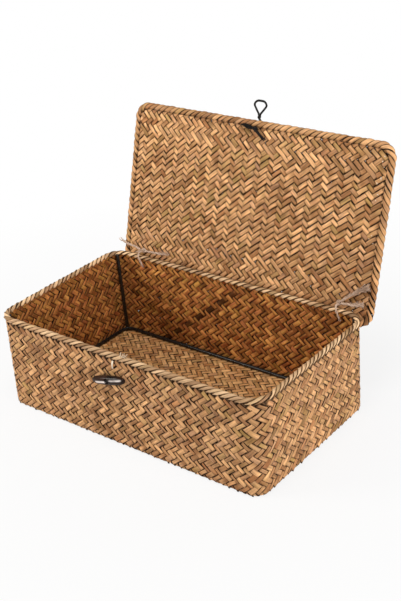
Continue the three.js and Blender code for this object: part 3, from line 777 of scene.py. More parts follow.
def wallProfile(row):
    # up the wall from the edge under the base: outset, height and how far the face looks down
    rise = wallFoot + row * wall["row"] - wall["edgeHeight"]
    angle = np.clip(-rise / wall["edgeRadius"], 0, math.pi / 2)
    flat = np.maximum(-rise - wall["edgeRadius"] * math.pi / 2, 0)
    outset = -wall["edgeRadius"] * (1 - np.cos(angle)) - flat
    height = wall["edgeHeight"] + np.maximum(rise, 0) - wall["edgeRadius"] * np.sin(angle)
    return outset, height, angle


def wallPlace(first, row, way):
    # a strand of one family: it moves round the box by half a cell for each row that it climbs
    def places(sway, lift):
        share = (2 * first + way * row) / (2 * rounds) + sway / wallRound
        outset, height, angle = wallProfile(row)
        lift = np.where(angle > 0, np.minimum(lift, wall["edgeLift"]), lift)
        centre, turn = wallSurface(share, outset + lift * np.cos(angle), height - lift * np.sin(angle))
        return centre, faced(turn, np.cos(angle), -np.sin(angle))
    return places


def plaitWall():
    stainFrom, stainTo = wall["stainedRows"]
    for way, family, end in ((1, "Rising", wall["risingEnd"]), (-1, "Falling", wall["fallingEnd"])):
        lowRow = -(wall["tuckUnder"] + wallFoot) / wall["row"]
        highRow = (end - wallFoot) / wall["row"]
        row = np.linspace(lowRow, highRow, int((highRow - lowRow) * plait["steps"]))
        offset = math.ceil(-lowRow) + 1
        laps = rowRule(None, np.arange(-offset, math.ceil(highRow) + 3))
        # painted shade on the falling strands' outer face, where they go up under the rim wraps
        covered = ease((wallProfile(row)[1] - wall["coveredFrom"]) / wall["coveredOver"])
        stained = ease((row - stainFrom) / wall["stainOver"]) * ease((stainTo - row) / wall["stainOver"])
        strands = []
        for first in range(rounds):
            height = lapHeight(laps, row + offset, wall["lead"]) * way
            other = (-1) ** first
            wide = 1 + wall["wideNarrow"] * other
            stain = wall["stain"] * (family == "Falling") * (first == wall["stainedStrand"])
            strands.append(plaitStrand(
                wallPlace(first, row, way), height, strandPitch * wide, wall["alternate"] * other,
                1 - wall["coveredDark"] * covered, wall["waist"] / min(wide, 1), 1 - stain * stained))
        third = math.ceil(len(strands) / 3)
        for k, part in enumerate(("One", "Two", "Three")):
            some = strands[k * third:(k + 1) * third]
            layStrands(f"wall{family}{part}", some, strawWall, "box", ["woven_basket"])


plaitWall()
print("wall plaited")


# the rim: the rising strands come out from under the falling ones, fold over the rim wire and tuck in inside

rim = {
    "overlap": 1.1, "halfThick": 0.55 * mm, "start": 99.6 * mm, "innerEnd": 102.0 * mm,
    "arc": 13, "steps": 40,
    "outerFoot": ((-0.6, 0), (0.9, 1.2)), "outerDrop": 1.2 * mm,
    "innerFoot": ((-1.2, 0.9), (-0.3, 0)), "innerDrop": 0.9 * mm,
    "climb": 1.2, "slant": 2.3, "bendFrom": 2.8 * mm, "bendOver": 3.0 * mm, "tip": 0.26, "tipVary": 0.05,
    "foot": 0.62, "widenFrom": 1 * mm, "widenOver": 4.5 * mm, "widthVary": 0.12, "ease": 0.14 * mm,
    "stray": 0.3 * mm, "darkTo": 0.4 * mm, "litOver": 1.6 * mm, "innerLitOver": 2.6 * mm,
    "tone": (0.62, 0.4), "hueVary": 0.5,
}


def foldPath(fold, steps):
    # even places along a fold, which way its face looks there, and how far along they are
    run = runLength(fold)
    along = np.linspace(0, run[-1], steps)
    outset = np.interp(along, run, fold[:, 0])
    height = np.interp(along, run, fold[:, 1])
    slope = unit(np.column_stack((np.gradient(outset), np.gradient(height))))
    return outset, height, (slope[:, 1], -slope[:, 0]), along


def wrapStrands(look, count, halfWidth, shade, place):
    # place gives a strand's points and normals for its number and a sideways stray
    toneMiddle, toneVary = look["tone"]
    strands = []
    for first in range(count):
        centre, normal = place(first, dice.normal(0, look["stray"]))
        width = halfWidth * (1 + dice.normal(0, look["widthVary"]))
        tip = look["tip"] + dice.normal(0, look["tipVary"])
        rings, run = ribbon(centre, normal, width, look["halfThick"], tip)
        tone = np.clip(toneMiddle + dice.normal(0, toneVary), 0, 1)
        strands.append(strand(rings, run, tone, dice.normal(0, look["hueVary"]), shade))
    return strands


def wrapRim():
    radius = wall["beadRadius"] - rim["halfThick"] - rim["ease"]
    arc = np.linspace(0, math.pi, rim["arc"])
    outside = [(x * mm, rim["start"] + z * mm) for x, z in rim["outerFoot"]]
    outside.append((radius, beadHeight - rim["outerDrop"]))
    over = np.column_stack((radius * np.cos(arc), beadHeight + radius * np.sin(arc)))
    inside = [(-radius, beadHeight - rim["innerDrop"])]
    inside += [(x * mm, rim["innerEnd"] + z * mm) for x, z in rim["innerFoot"]]
    outset, height, facing, along = foldPath(np.concatenate((outside, over, inside)), rim["steps"])
    startRow = (rim["start"] - wallFoot) / wall["row"]
    # painted shade at the wraps' ends, where they come out from under the wall's strands and where they tuck
    # in inside
    shade = ease((along - rim["darkTo"]) / rim["litOver"]) * ease((along[-1] - along) / rim["innerLitOver"])
    # the strands climb as they do in the wall, then lie down along the rim
    slope = rim["climb"] + (rim["slant"] - rim["climb"]) * ease((along - rim["bendFrom"]) / rim["bendOver"])
    slide = np.concatenate(([0], np.cumsum((slope[1:] + slope[:-1]) / 2 * np.diff(along))))
    narrow = rim["foot"] + (1 - rim["foot"]) * ease((along - rim["widenFrom"]) / rim["widenOver"])
    halfWidth = wall["cell"] / 2 * rim["overlap"] / np.hypot(1, slope) * narrow

    def place(first, stray):
        share = (2 * first + startRow) / (2 * rounds) + slide / wallRound
        centre, turn = wallSurface(share + stray / wallRound, outset, height)
        return centre, faced(turn, *facing)
    strands = wrapStrands(rim, rounds, halfWidth, shade, place)
    layStrands("rimWraps", strands, strawRim, "box", ["rim_binding"])


wrapRim()
print("rim wrapped")


# flat plaits, cut to a rounded rectangle: the base in level rows, the lid in columns between bands of rows

base = {
    "height": 2.3 * mm, "inset": 3.2 * mm, "cell": 4.2 * mm, "row": 3.5 * mm, "columns": (-40, 40),
    "lift": 0.62, "lead": 0.0,
}


def flatPlait(plan):
    # crossings lie at whole columns and rows whose sum is even;
    # painted shade: the strands darken towards the right end, where less light falls
    halfX, halfY = plan["half"]
    corner, toX, rowStep = plan["corner"], plan["toX"], plan["row"]
    leftmost, rightmost = plan["columns"]
    rows = halfY / rowStep
    for way, family in ((1, "Rising"), (-1, "Falling")):
        strands = []
        first = math.ceil(leftmost - rows)
        first += first % 2
        while first < rightmost + rows:
            row = np.arange(-rows - 1, rows + 1, 1 / plait["steps"])
            column = first + way * row
            x, y = toX(column), row * rowStep
            pastX = np.maximum(np.abs(x) - halfX + corner, 0)
            pastY = np.maximum(np.abs(y) - halfY + corner, 0)
            within = (np.abs(x) <= halfX) & (np.abs(y) <= halfY)
            kept = np.flatnonzero((np.hypot(pastX, pastY) <= corner) & within)
            if len(kept) >= plait["shortest"] * plait["steps"]:
                row, column, x, y = (v[kept[0]:kept[-1] + 1] for v in (row, column, x, y))
                marks = np.arange(math.floor(row[0]) - 1, math.ceil(row[-1]) + 3)
                laps = plan["rule"](first + way * marks, marks)
                height = lapHeight(laps, row - marks[0], plan["lead"](row)) * way

                def places(sway, lift, x=x, y=y, way=way):
                    return plan["toPlace"](x + plait["swayX"] * sway, y - way * plait["swayY"] * sway, lift)
                pitch = 1 / np.hypot(0.5 / (toX(column + 0.5) - toX(column - 0.5)), 0.5 / rowStep)
                strands.append(plaitStrand(places, height, pitch, -plan["rightShade"] * np.maximum(x, 0) / halfX))
            first += 2
        layStrands(plan["name"] + family, strands, plan["finish"], plan["body"], [plan["node"]])


def baseLead(row):
    return base["lead"]


def baseX(column):
    return column * base["cell"]


def onBase(x, y, lift):
    centre = np.column_stack((x, y, base["height"] + lift * base["lift"]))
    return centre, np.tile((0.0, 0.0, 1.0), (len(x), 1))


baseHalfX, baseHalfY, baseCorner = (size - base["inset"] for size in wallSize(0))
flatPlait({
    "name": "base", "body": "box", "node": "woven_basket", "finish": strawBase,
    "half": (baseHalfX, baseHalfY), "corner": baseCorner, "columns": base["columns"], "row": base["row"],
    "toX": baseX, "toPlace": onBase, "rule": rowRule, "lead": baseLead, "rightShade": 0.0,
})
print("base plaited")


def lidX(column):
    # the columns widen from left to right
    start, wide, growth = lid["columnRule"]
    c = (column + 0.5) / plait["lapRows"] + lid["columnsLeft"]
    return (start + wide * c + growth * c * c) * mm


def lidLevel(row):
    # true in the two bands of rows
    fromHinge = lid["depth"] / 2 - row * lid["row"]
    return (fromHinge < lid["hingeRows"]) | (fromHinge > lid["depth"] - lid["frontRows"])


def lidRule(column, row):
    return rowRule(None, np.where(lidLevel(row), row, column))


def lidLead(row):
    return np.where(lidLevel(row), lid["rowLead"], lid["lead"])


def onLid(x, y, lift):
    # y counts from the lid's middle towards the hinge; the plait's upper face is the lid's inner one
    centre = np.column_stack((x, lidMiddleY + y, lid["middleAboveHinge"] - lift))
    return toOpen(centre), turned(np.tile((0.0, 0.0, -1.0), (len(x), 1)))


flatPlait({
    "name": "lid", "body": "lid", "node": "lid_panel", "finish": strawLid,
    "half": (lid["halfLength"] - lid["panelInset"], lid["depth"] / 2 - lid["panelInset"]),
    "corner": lid["corner"] - lid["panelInset"], "columns": lid["columns"], "row": lid["row"],
    "toX": lidX, "toPlace": onLid, "rule": lidRule, "lead": lidLead, "rightShade": lid["rightShade"],
})
print("lid plaited")


lidWrap = {
    "count": 134, "inner": 3.7 * mm, "halfThick": 0.55 * mm, "tip": 0.2, "tipVary": 0.05, "slant": 1.45,
    "stray": 0.3 * mm, "widthVary": 0.1, "tone": (0.5, 0.3), "hueVary": 0.5, "arc": 13,
    "covered": 0.3 * mm, "lit": 3 * mm, "foot": ((0, -0.4), (0.7, -1.8)), "knee": (1.9 * mm, 0.92),
}


def wrapLid():
    size = lid["halfLength"], lid["depth"] / 2, lid["corner"]
    knots, lidRound = roundKnots(*size)
    radius = lid["roll"] - lidWrap["halfThick"] - rim["ease"]
    arc = np.linspace(-math.pi / 2, math.pi / 2, lidWrap["arc"])
    over = np.column_stack((radius * np.cos(arc), radius * np.sin(arc)))
    kneeIn, kneeShare = lidWrap["knee"]
    start = [(-lidWrap["inner"] + x * mm, z * mm) for x, z in lidWrap["foot"]]
    start = np.array(start + [(-lidWrap["inner"] + kneeIn, -radius * kneeShare)])
    fold = np.concatenate((start, over, start[::-1] * (1, -1)))
    outset, height, facing, along = foldPath(fold, rim["steps"])
    covered, lit, slant = lidWrap["covered"], lidWrap["lit"], lidWrap["slant"]
    # painted shade at both ends of each wrap, where it tucks under the plait
    shade = ease((along - covered) / lit) * ease((along[-1] - covered - along) / lit)
    halfWidth = lidRound / lidWrap["count"] / 2 * rim["overlap"] / math.hypot(1, slant)

    def place(first, stray):
        share = first / lidWrap["count"] + (slant * along + stray) / lidRound
        x, y, turn = roundRect(share, knots, *size, outset)
        centre = np.column_stack((x, lidMiddleY + y, lid["middleAboveHinge"] + height))
        return toOpen(centre), turned(faced(turn, *facing))
    strands = wrapStrands(lidWrap, lidWrap["count"], halfWidth, shade, place)
    layStrands("lidWraps", strands, strawLid, "lid", ["lid_border"])


wrapLid()
print("lid border wrapped")


# twine hinges: each tie leaves its knot, goes over the rim, through the wall, under the lid and through it

tie = {
    "wallX": {"left": -124, "right": 137.5}, "rimCentre": (92.8, 103.75), "rimRadius": 4.15,
    "overRim": ((60, .25), (90, .4), (120, .5), (150, .6), (180, .7)),
    "throughWall": ((88.65, 97.0), (90.034, 93.7), (95.734, 93.7)),
    "rollRadius": 4.9, "underRoll": ((120, .1), (150, .2), (180, .3), (210, .4), (240, .5), (270, .6)),
    "throughLid": ((9, -4.6), (16.95, -2.9), (17.5, 0), (17.5, 4.0)),
    "blendFrom": (0, 0.0955, 0.1), "blendTo": (0, 0.1035, 0.1),
    "knotSize": 0.68 * mm, "knotFlat": 0.9, "knotTwine": 2.0 * mm, "knotTurn": 5 * mm, "knotStep": 0.5 * mm,
    "knotHairs": 26, "knotHair": 2.4 * mm, "fromKnot": 3.3, "twine": 1.8 * mm, "hairs": 20, "hair": 1.8 * mm,
}
overhand = {"points": 60, "deep": 1.6}


def knotLine(centre, across, along, upward, size, flat):
    # an overhand knot pulled tight
    t = np.linspace(0, 2 * math.pi, overhand["points"])[:, None]
    return (centre + (np.sin(t) + 2 * np.sin(2 * t)) * size * across
            + (np.cos(t) - 2 * np.cos(2 * t)) * size * along
            - np.sin(3 * t) * size * flat * overhand["deep"] * upward)


def lidAxes():
    return turned(((1.0, 0, 0), (0, -1.0, 0), (0, 0, -1.0)))


def bentRound(radius, turns):
    # places round a circle, as its two coordinates with the share of the way that goes with each
    return [(radius * math.cos(math.radians(angle)), radius * math.sin(math.radians(angle)), share)
            for angle, share in turns]


def tieHinges():
    rimY, rimZ = tie["rimCentre"]
    for side, wallX in tie["wallX"].items():
        knotX = knotPlace[side][0]
        knot = lidPoints([knotPlace[side]])[0]
        slant = wallX - knotX
        points = [(knotX * mm, knot[1] - tie["fromKnot"] * mm, knot[2])]
        points += [((knotX + share * slant) * mm, (rimY + y) * mm, (rimZ + z) * mm)
                   for y, z, share in bentRound(tie["rimRadius"], tie["overRim"])]
        points += [(wallX * mm, y * mm, z * mm) for y, z in tie["throughWall"]]
        under = [(wallX - share * slant, reach, depth)
                 for reach, depth, share in bentRound(tie["rollRadius"], tie["underRoll"])]
        under += [(knotX, reach, depth) for reach, depth in tie["throughLid"]]
        line = smoothLine(np.concatenate((points, lidPoints(under))), twineLook["step"])
        strands = twist(line, tie["twine"], twineLook["turn"])
        strands += hairs(tie["hairs"], line, tie["hair"], twineLook["diameter"])
        piece = layStrands(f"hingeTwine_{side}", strands, twine, None, [f"hinge_tie_{side}"])
        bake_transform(piece)
        loops = knotLine(knot, *lidAxes(), tie["knotSize"], tie["knotFlat"])
        strands = twist(smoothLine(loops[::2], tie["knotStep"]), tie["knotTwine"], tie["knotTurn"])
        strands += hairs(tie["knotHairs"], loops, tie["knotHair"], twineLook["diameter"])
        if side == "left":
            short = smoothLine(fromKnot(knotPlace[side], twineLook["shortEnd"]), twineLook["step"])
            strands += twist(short, twineLook["shortTwine"], twineLook["shortTurn"],
                             unravel=twineLook["shortUnravel"])
        layStrands(f"hingeKnot_{side}", strands, twine, "lid", [f"hinge_knot_{side}"])


tieHinges()
print("hinges tied")


# the rest of the elastic: wraps at the loop's neck, the stem through the lid's edge, its knot and two ends

elastic = {
    "neckRadius": 1.2, "neckCord": 1.5 * mm, "neckTurns": 3.3, "neckPoints": 60,
    "neckFrom": 0.55, "neckTo": 3.1, "neckBend": (0.4, 2.6),
    "rollReach": 180.8, "stemRadius": 4.5, "stemTurns": ((50, 0), (75, 0)), "stemCord": 2.3 * mm,
    "stemFrom": ((186.3, 0), (185.6, -1.4)),
    "stemTo": ((177.3, -4.5), (176.15, -3.8), (175.8, -1.5), (175.8, 3.2)),
    "knot": (1.5, 175.8, 5.8), "knotSize": 0.75 * mm, "knotFlat": 0.8, "knotCord": 2.0 * mm,
    "endFrom": (1.5, 175.8, 5.0), "longEnd": ((0, 0, 0), (2, -1.9, .4), (6.5, -6, -.6), (12.5, -10.5, -.9)),
    "longCord": 2.5 * mm, "longTurn": 6 * mm, "longPlies": 3, "longUnravel": 5 * mm,
    "longHairs": 16, "longHair": 1.6 * mm, "longRoot": 1.4 * mm,
    "frayedEnd": ((0, 0, 0), (-2.8, .3, .4), (-10, 1.4, 0), (-20, 2.6, 0)),
    "fibres": 34, "fibreRun": (0.55, 1.0), "fibreTurn": 0.8, "fibreOut": (0.2, 1.0),
    "fibreRoot": 0.5, "fibreSpread": 1.9, "fibreFull": 0.9,
    "fibreThick": (0.42, 0.22),
}


def layCord(name, strands, body, node):
    return layStrands(name, strands, blackBraid, body, [node])


def frayedFibres(line):
    side, tangent = carried(line)
    other = np.cross(tangent, side)
    rootThick, thinner = elastic["fibreThick"]
    fibres = []
    for _ in range(elastic["fibres"]):
        count = int(len(line) * dice.uniform(*elastic["fibreRun"]))
        share = np.linspace(0, 1, count)
        angle = dice.uniform(0, 2 * math.pi) + dice.normal(0, elastic["fibreTurn"]) * share
        opened = elastic["fibreRoot"] + elastic["fibreSpread"] * ease(share / elastic["fibreFull"])
        reachOut = dice.uniform(*elastic["fibreOut"]) * opened * mm
        out = side[:count] * np.cos(angle)[:, None] + other[:count] * np.sin(angle)[:, None]
        thick = (rootThick - thinner * share) * mm
        rings, along = ribbon(line[:count] + out * reachOut[:, None], out, thick, thick, section=round3)
        fibres.append(strand(rings, along, dice.uniform(0, 1)))
    return fibres


def windElastic():
    turn = np.linspace(0, 2 * math.pi * elastic["neckTurns"], elastic["neckPoints"])
    rise = np.linspace(elastic["neckFrom"], elastic["neckTo"], elastic["neckPoints"])
    pivot = (loop["x"], loop["pivotReach"], 0)
    coil = fromKnot(pivot, [(elastic["neckRadius"] * math.cos(a), up, elastic["neckRadius"] * math.sin(a))
                            for a, up in zip(turn, rise)])
    neck = layCord("loopNeck", [blackTube(coil, elastic["neckCord"])], None, "closure_loop_neck")
    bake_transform(neck)
    bent = bentRound(elastic["stemRadius"], elastic["stemTurns"])
    rolled = [(elastic["rollReach"] + out, -up) for out, up, _ in bent]
    stem = lidPoints([(loop["x"], *place) for place in (*elastic["stemFrom"], *rolled, *elastic["stemTo"])])
    stemCord = blackTube(smoothLine(stem, loop["step"]), elastic["stemCord"])
    layCord("elasticStem", [stemCord], "lid", "closure_stem")
    knot = lidPoints([elastic["knot"]])[0]
    loops = knotLine(knot, *lidAxes(), elastic["knotSize"], elastic["knotFlat"])
    layCord("elasticKnot", [blackTube(loops, elastic["knotCord"])], "lid", "closure_knot")
    line = smoothLine(fromKnot(elastic["endFrom"], elastic["longEnd"]), loop["step"])
    strands = twist(line, elastic["longCord"], elastic["longTurn"], elastic["longPlies"],
                    elastic["longUnravel"])
    strands += hairs(elastic["longHairs"], line, elastic["longHair"], elastic["longRoot"])
    layCord("elasticEndLong", strands, "lid", "closure_end_long")
    line = smoothLine(fromKnot(elastic["endFrom"], elastic["frayedEnd"]), loop["step"])
    layCord("elasticEndFrayed", frayedFibres(line), "lid", "closure_end_frayed")


windElastic()
print("elastic wound")


# the horn toggle: a turned bar, drilled through and sunk where its string is knotted

toggle = {
    "halfLength": 22.5 * mm, "radius": 5 * mm, "depthShare": 0.8, "tilt": 14.8, "endShare": 0.78,
    "rings": 56, "sides": 32, "lastRing": 0.9985, "endRound": 6, "hole": 1.5 * mm, "holeDepth": 20 * mm,
    "sink": 2.8 * mm, "sinkDepth": 2.5 * mm, "drillSides": 32, "drillDepth": 4 * mm, "smoothUnder": 35,
    "frontFrom": -0.4 * mm,
    "streaks": (((-0.62, -0.16), (-0.14, -0.12), 0.2), ((0.26, 0.2), (0.8, 0.26), 0.17)),
    "streakStretch": 2.2, "streakEdge": 4, "string": 2 * mm, "stringSteps": 24, "stringHead": 1.3 * mm,
    "stringKnot": 0.56 * mm, "stringFlat": 0.6, "stringCord": 1.5 * mm,
}
swivel = Vector(joint("toggle_swivel")["pos_m"])


def drillAway(piece, radius, depth, place):
    bpy.ops.object.select_all(action="DESELECT")
    bpy.ops.mesh.primitive_cylinder_add(vertices=toggle["drillSides"], radius=radius, depth=depth,
                                        location=place, rotation=(math.pi / 2, 0, 0))
    drill = bpy.context.object
    cutting = piece.modifiers.new("drill", "BOOLEAN")
    cutting.operation = "DIFFERENCE"
    cutting.solver = "EXACT"
    cutting.object = drill
    bpy.context.view_layer.objects.active = piece
    bpy.ops.object.modifier_apply(modifier="drill")
    bpy.data.objects.remove(drill)


# pale streaks along the bar's front: partly the horn's own streaks, partly a painted highlight
def streaksAndHighlight(along, upward, front):
    pale = np.zeros(len(along))
    for (u0, w0), (u1, w1), width in toggle["streaks"]:
        run = np.array((u1 - u0, w1 - w0))
        share = np.clip(((along - u0) * run[0] + (upward - w0) * run[1]) / (run @ run), 0, 1)
        away = np.hypot((along - u0 - share * run[0]) * toggle["streakStretch"], upward - w0 - share * run[1])
        pale = np.maximum(pale, np.exp(-(away / width) ** toggle["streakEdge"]))
    return pale * front


def turnToggle():
    a = np.sin(np.linspace(-math.pi / 2, math.pi / 2, toggle["rings"])) * toggle["lastRing"]
    taper = toggle["endShare"] + (1 - toggle["endShare"]) * np.cos(a * math.pi / 2)
    radius = (toggle["radius"] * np.sqrt(1 - a ** toggle["endRound"]) * taper)[:, None]
    turn = np.arange(toggle["sides"]) * 2 * math.pi / toggle["sides"]
    along = np.repeat(a[:, None] * toggle["halfLength"], toggle["sides"], axis=1)
    bar = np.stack((along, radius * np.cos(turn) * toggle["depthShare"], radius * np.sin(turn)), axis=-1)
    lean = np.array(Matrix.Rotation(-math.radians(toggle["tilt"]), 3, "Y"))
    rings = strand(bar @ lean.T + np.array(swivel), a * toggle["halfLength"])
    piece = layStrands("hornToggle", [rings], polishedHorn, None, [])
    drillAway(piece, toggle["hole"], toggle["holeDepth"], swivel)
    sinkMiddle = -toggle["radius"] * toggle["depthShare"] + toggle["sinkDepth"] - toggle["drillDepth"] / 2
    drillAway(piece, toggle["sink"], toggle["drillDepth"], swivel + Vector((0, sinkMiddle, 0)))
    places = np.empty(len(piece.data.vertices) * 3)
    piece.data.vertices.foreach_get("co", places)
    level = (places.reshape(-1, 3) - np.array(swivel)) @ lean
    # the pale streaks and painted highlight go on the front face only
    front = level[:, 1] < toggle["frontFrom"]
    pale = streaksAndHighlight(level[:, 0] / toggle["halfLength"], level[:, 2] / toggle["radius"], front)
    streak = piece.data.attributes.new("paleStreakAndHighlight", "FLOAT", "POINT")
    streak.data.foreach_set("value", pale.astype(np.float32))
    bpy.ops.object.shade_smooth_by_angle(angle=math.radians(toggle["smoothUnder"]))
    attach(piece, "toggle")
    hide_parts("toggle")


def knotString():
    axes = np.array(((1.0, 0, 0), (0, 0, 1.0), (0, -1.0, 0)))
    for node in ("toggle_string", "toggle_string_knot"):
        nodeLow, nodeHigh = (np.array(corner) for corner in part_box(node))
        middle = (nodeLow + nodeHigh) / 2
        strands = []
        if node == "toggle_string":
            middle[1] = nodeLow[1] + toggle["stringHead"]
            shank = np.linspace(middle, (middle[0], nodeHigh[1], middle[2]), toggle["stringSteps"])
            strands.append(blackTube(shank, toggle["string"]))
        loops = knotLine(middle, *axes, toggle["stringKnot"], toggle["stringFlat"])
        strands.append(blackTube(loops, toggle["stringCord"]))
        layCord(node + "_cord", strands, "box", node)


turnToggle()
knotString()
print("toggle turned and tied")


# the wire frame inside the box: a ring on the floor, and a post with a bead of weld in each corner

wire = {
    "radius": 2 * mm, "outset": -4.05 * mm, "height": 5.8 * mm, "postFoot": 7.6 * mm, "postTop": 103.8 * mm,
    "postLean": 1.1 * mm, "postSides": 20, "postBevel": 0.6 * mm, "bevelSteps": 3, "smoothUnder": 40,
    "cornerSegments": 10, "ringSteps": 3, "weld": 2.6 * mm, "weldShape": (1.05, 1.05, 0.7),
    "weldSides": (18, 10),
    "posts": {"back_left": 1, "front_left": 3, "front_right": 5, "back_right": 7},
}


def bendRing():
    halfX, halfY, corner = (size + wire["outset"] for size in wallSize(wire["height"]))
    bpy.ops.object.select_all(action="DESELECT")
    bpy.ops.mesh.primitive_plane_add(size=2, location=(0, 0, wire["height"]))
    ring = bpy.context.object
    ring.name = "floorRing"
    ring.scale = (halfX, halfY, 1)
    bpy.ops.object.transform_apply(location=True, rotation=True, scale=True)
    bpy.ops.object.mode_set(mode="EDIT")
    bpy.ops.mesh.select_all(action="SELECT")
    bpy.ops.mesh.delete(type="ONLY_FACE")
    bpy.ops.mesh.select_all(action="SELECT")
    bpy.ops.mesh.bevel(offset=corner, segments=wire["cornerSegments"], affect="VERTICES")
    bpy.ops.object.mode_set(mode="OBJECT")
    bpy.ops.object.convert(target="CURVE")
    ring.data.bevel_depth = wire["radius"]
    ring.data.bevel_resolution = wire["ringSteps"]
    bpy.ops.object.convert(target="MESH")
    bpy.ops.object.shade_smooth()
    dressWire(ring, ["bottom_wire_ring"])


def dressWire(piece, nodes):
    piece.data.materials.clear()
    piece.data.materials.append(blackWire)
    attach(piece, "box")
    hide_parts(*nodes)


def standPosts():
    for name, knot in wire["posts"].items():
        share = np.array([(wallKnots[knot] + wallKnots[knot + 1]) / 2] * 2)
        ends, _ = wallSurface(share, wire["outset"] + np.array((0, wire["postLean"])),
                              np.array((wire["postFoot"], wire["postTop"])))
        foot, top = Vector(ends[0]), Vector(ends[1])
        bpy.ops.object.select_all(action="DESELECT")
        bpy.ops.mesh.primitive_cylinder_add(vertices=wire["postSides"], radius=wire["radius"],
                                            depth=(top - foot).length, location=(foot + top) / 2)
        post = bpy.context.object
        post.rotation_euler = (top - foot).to_track_quat("Z", "Y").to_euler()
        bevel = post.modifiers.new("soften", "BEVEL")
        bevel.width = wire["postBevel"]
        bevel.segments = wire["bevelSteps"]
        bpy.ops.object.modifier_apply(modifier="soften")
        sides, rings = wire["weldSides"]
        bpy.ops.mesh.primitive_uv_sphere_add(
            segments=sides, ring_count=rings, radius=wire["weld"], location=foot)
        weld = bpy.context.object
        weld.scale = wire["weldShape"]
        post.select_set(True)
        bpy.context.view_layer.objects.active = post
        bpy.ops.object.join()
        post.name = f"cornerPost_{name}"
        bpy.ops.object.transform_apply(location=True, rotation=True, scale=True)
        bpy.ops.object.shade_smooth_by_angle(angle=math.radians(wire["smoothUnder"]))
        dressWire(post, [f"wire_post_{name}"])


bendRing()
standPosts()
for nodeName in ("top_wire_ring", "lid_wire_ring"):
    hidden = frame["nodes"][nodeName]
    hidden.data.materials.clear()
    hidden.data.materials.append(blackWire)
print("wire frame bent")


# small things left by the hand: a cut strand's end on the front, and fibres that stand off the straw

strays = {
    "points": 9, "bow": (0.1, 0.3), "tipThinner": 0.6, "flat": 0.6,
    "endFrom": (-3.4, 99.6), "endTo": (-4.6, 90.2), "endPoints": 14, "endWidth": 1.25 * mm,
    "endThinner": 0.25, "endThick": 0.35 * mm, "endBow": 0.9 * mm, "frontClear": 2.3 * mm,
    "tuftX": (5.0, 12.5), "tuftY": (-2.2, 1.5), "tuftFibres": 16, "tuftThick": 0.6 * mm, "tuftSunk": 0.6 * mm,
    "tuftRunX": (0.3, 1.6), "tuftRunY": (0.4, 1.2), "tuftRise": (0.8, 3.2), "tuftSquashed": 0.1,
    "thin": 0.16 * mm, "tone": (0.5, 1),
    "wallFibres": 40, "wallZ": (10, 96), "wallClear": 1.5 * mm, "wallRun": 2.2, "wallRise": 0.8,
    "lidFibres": 26, "lidX": (-150, 150), "lidReach": (12, 168), "lidDepth": 1.5,
    "lidRun": 2.6, "lidRise": 0.9,
    "wornReach": (172, 165, 158, 151, 143, 134, 126, 92, 87, 83, 41, 38, 35), "wornX": (149, 155),
    "wornStray": 1, "wornDepth": 1.9, "wornRunX": (0.4, 0.8), "wornRunY": 1.1, "wornRise": 0.5,
    "wornThick": 0.9 * mm, "wornTone": (0.4, 1),
}


def fibre(start, run, normal, thick, tone):
    # a thin curved splinter of straw
    share = np.linspace(0, 1, strays["points"])[:, None]
    bow = normal * (share * (1 - share) * 4) * dice.uniform(*strays["bow"]) * np.linalg.norm(run)
    centre = start + run * share + bow
    width = thick * (1 - strays["tipThinner"] * share[:, 0])
    normals = np.tile(normal, (strays["points"], 1))
    rings, along = ribbon(centre, normals, width, width * strays["flat"], section=round3)
    return strand(rings, along, tone)


def lidFibre(x, reach, depth, run, thick, tone):
    start = lidPoints([(x, reach, depth)])[0]
    out, run = turned([(0, 0, -1.0), run])
    return fibre(start, run * mm, out, thick, dice.uniform(*tone))


def cutStrand():
    share = np.linspace(0, 1, strays["endPoints"])
    x, z = ((first + (last - first) * share) * mm for first, last in zip(strays["endFrom"], strays["endTo"]))
    frontY = -(rimHalfY + strays["frontClear"])
    centre = np.column_stack((x, frontY - strays["endBow"] * np.sin(share * math.pi), z))
    width = strays["endWidth"] * (1 - strays["endThinner"] * share)
    rings, along = ribbon(centre, np.tile((0, -1.0, 0), (len(share), 1)), width, strays["endThick"])
    layStrands("cutStrandEnd", [strand(rings, along, 1.0)], strawFrayed, "box", [])


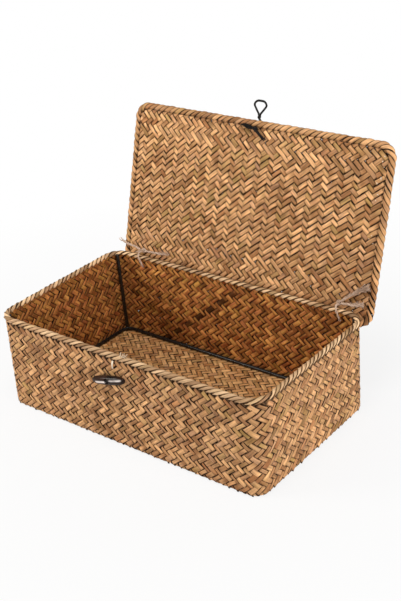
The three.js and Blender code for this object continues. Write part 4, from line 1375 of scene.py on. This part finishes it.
def straySplinters():
    strands = []
    for _ in range(strays["tuftFibres"]):
        x, y = dice.uniform(*strays["tuftX"]) * mm, -rimHalfY + dice.uniform(*strays["tuftY"]) * mm
        runX, runY = dice.normal(*strays["tuftRunX"]), dice.normal(*strays["tuftRunY"])
        run = np.array((runX, runY, dice.uniform(*strays["tuftRise"]))) * mm
        start, upward = np.array((x, y, boxHeight)), np.array((0, 0, 1.0))
        strands.append(fibre(start, run, upward, strays["tuftThick"], 1.0))
    tuft = layStrands("rimTuft", strands, strawFrayed, "box", [])
    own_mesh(tuft)
    strands = []
    for _ in range(strays["wallFibres"]):
        share = dice.uniform(0, 1)
        z = dice.uniform(*strays["wallZ"]) * mm
        place, turn = wallSurface(np.array([share]), strays["wallClear"], np.array([z]))
        normal = np.array((math.cos(turn[0]), math.sin(turn[0]), 0))
        side = np.array((-normal[1], normal[0], 0))
        run = side * dice.normal(0, strays["wallRun"]) + np.array((0, 0, dice.normal(0, strays["wallRun"])))
        run = (run + normal * strays["wallRise"]) * mm
        strands.append(fibre(place[0], run, normal, strays["thin"], dice.uniform(*strays["tone"])))
    layStrands("boxSplinters", strands, strawRim, "box", [])
    strands = []
    for _ in range(strays["lidFibres"]):
        x, reach = dice.uniform(*strays["lidX"]), dice.uniform(*strays["lidReach"])
        run = (dice.normal(0, strays["lidRun"]), dice.normal(0, strays["lidRun"]), -strays["lidRise"])
        strands.append(lidFibre(x, reach, strays["lidDepth"], run, strays["thin"], strays["tone"]))
    layStrands("lidSplinters", strands, strawRim, "lid", [])
    strands = []
    for middle in strays["wornReach"]:
        x, reach = dice.uniform(*strays["wornX"]), middle + dice.normal(0, strays["wornStray"])
        run = (dice.normal(*strays["wornRunX"]), dice.normal(0, strays["wornRunY"]), -strays["wornRise"])
        strands.append(lidFibre(x, reach, strays["wornDepth"], run, strays["wornThick"], strays["wornTone"]))
    layStrands("lidWornPlaces", strands, strawFrayed, "lid", [])


cutStrand()
straySplinters()
print("stray splinters laid")
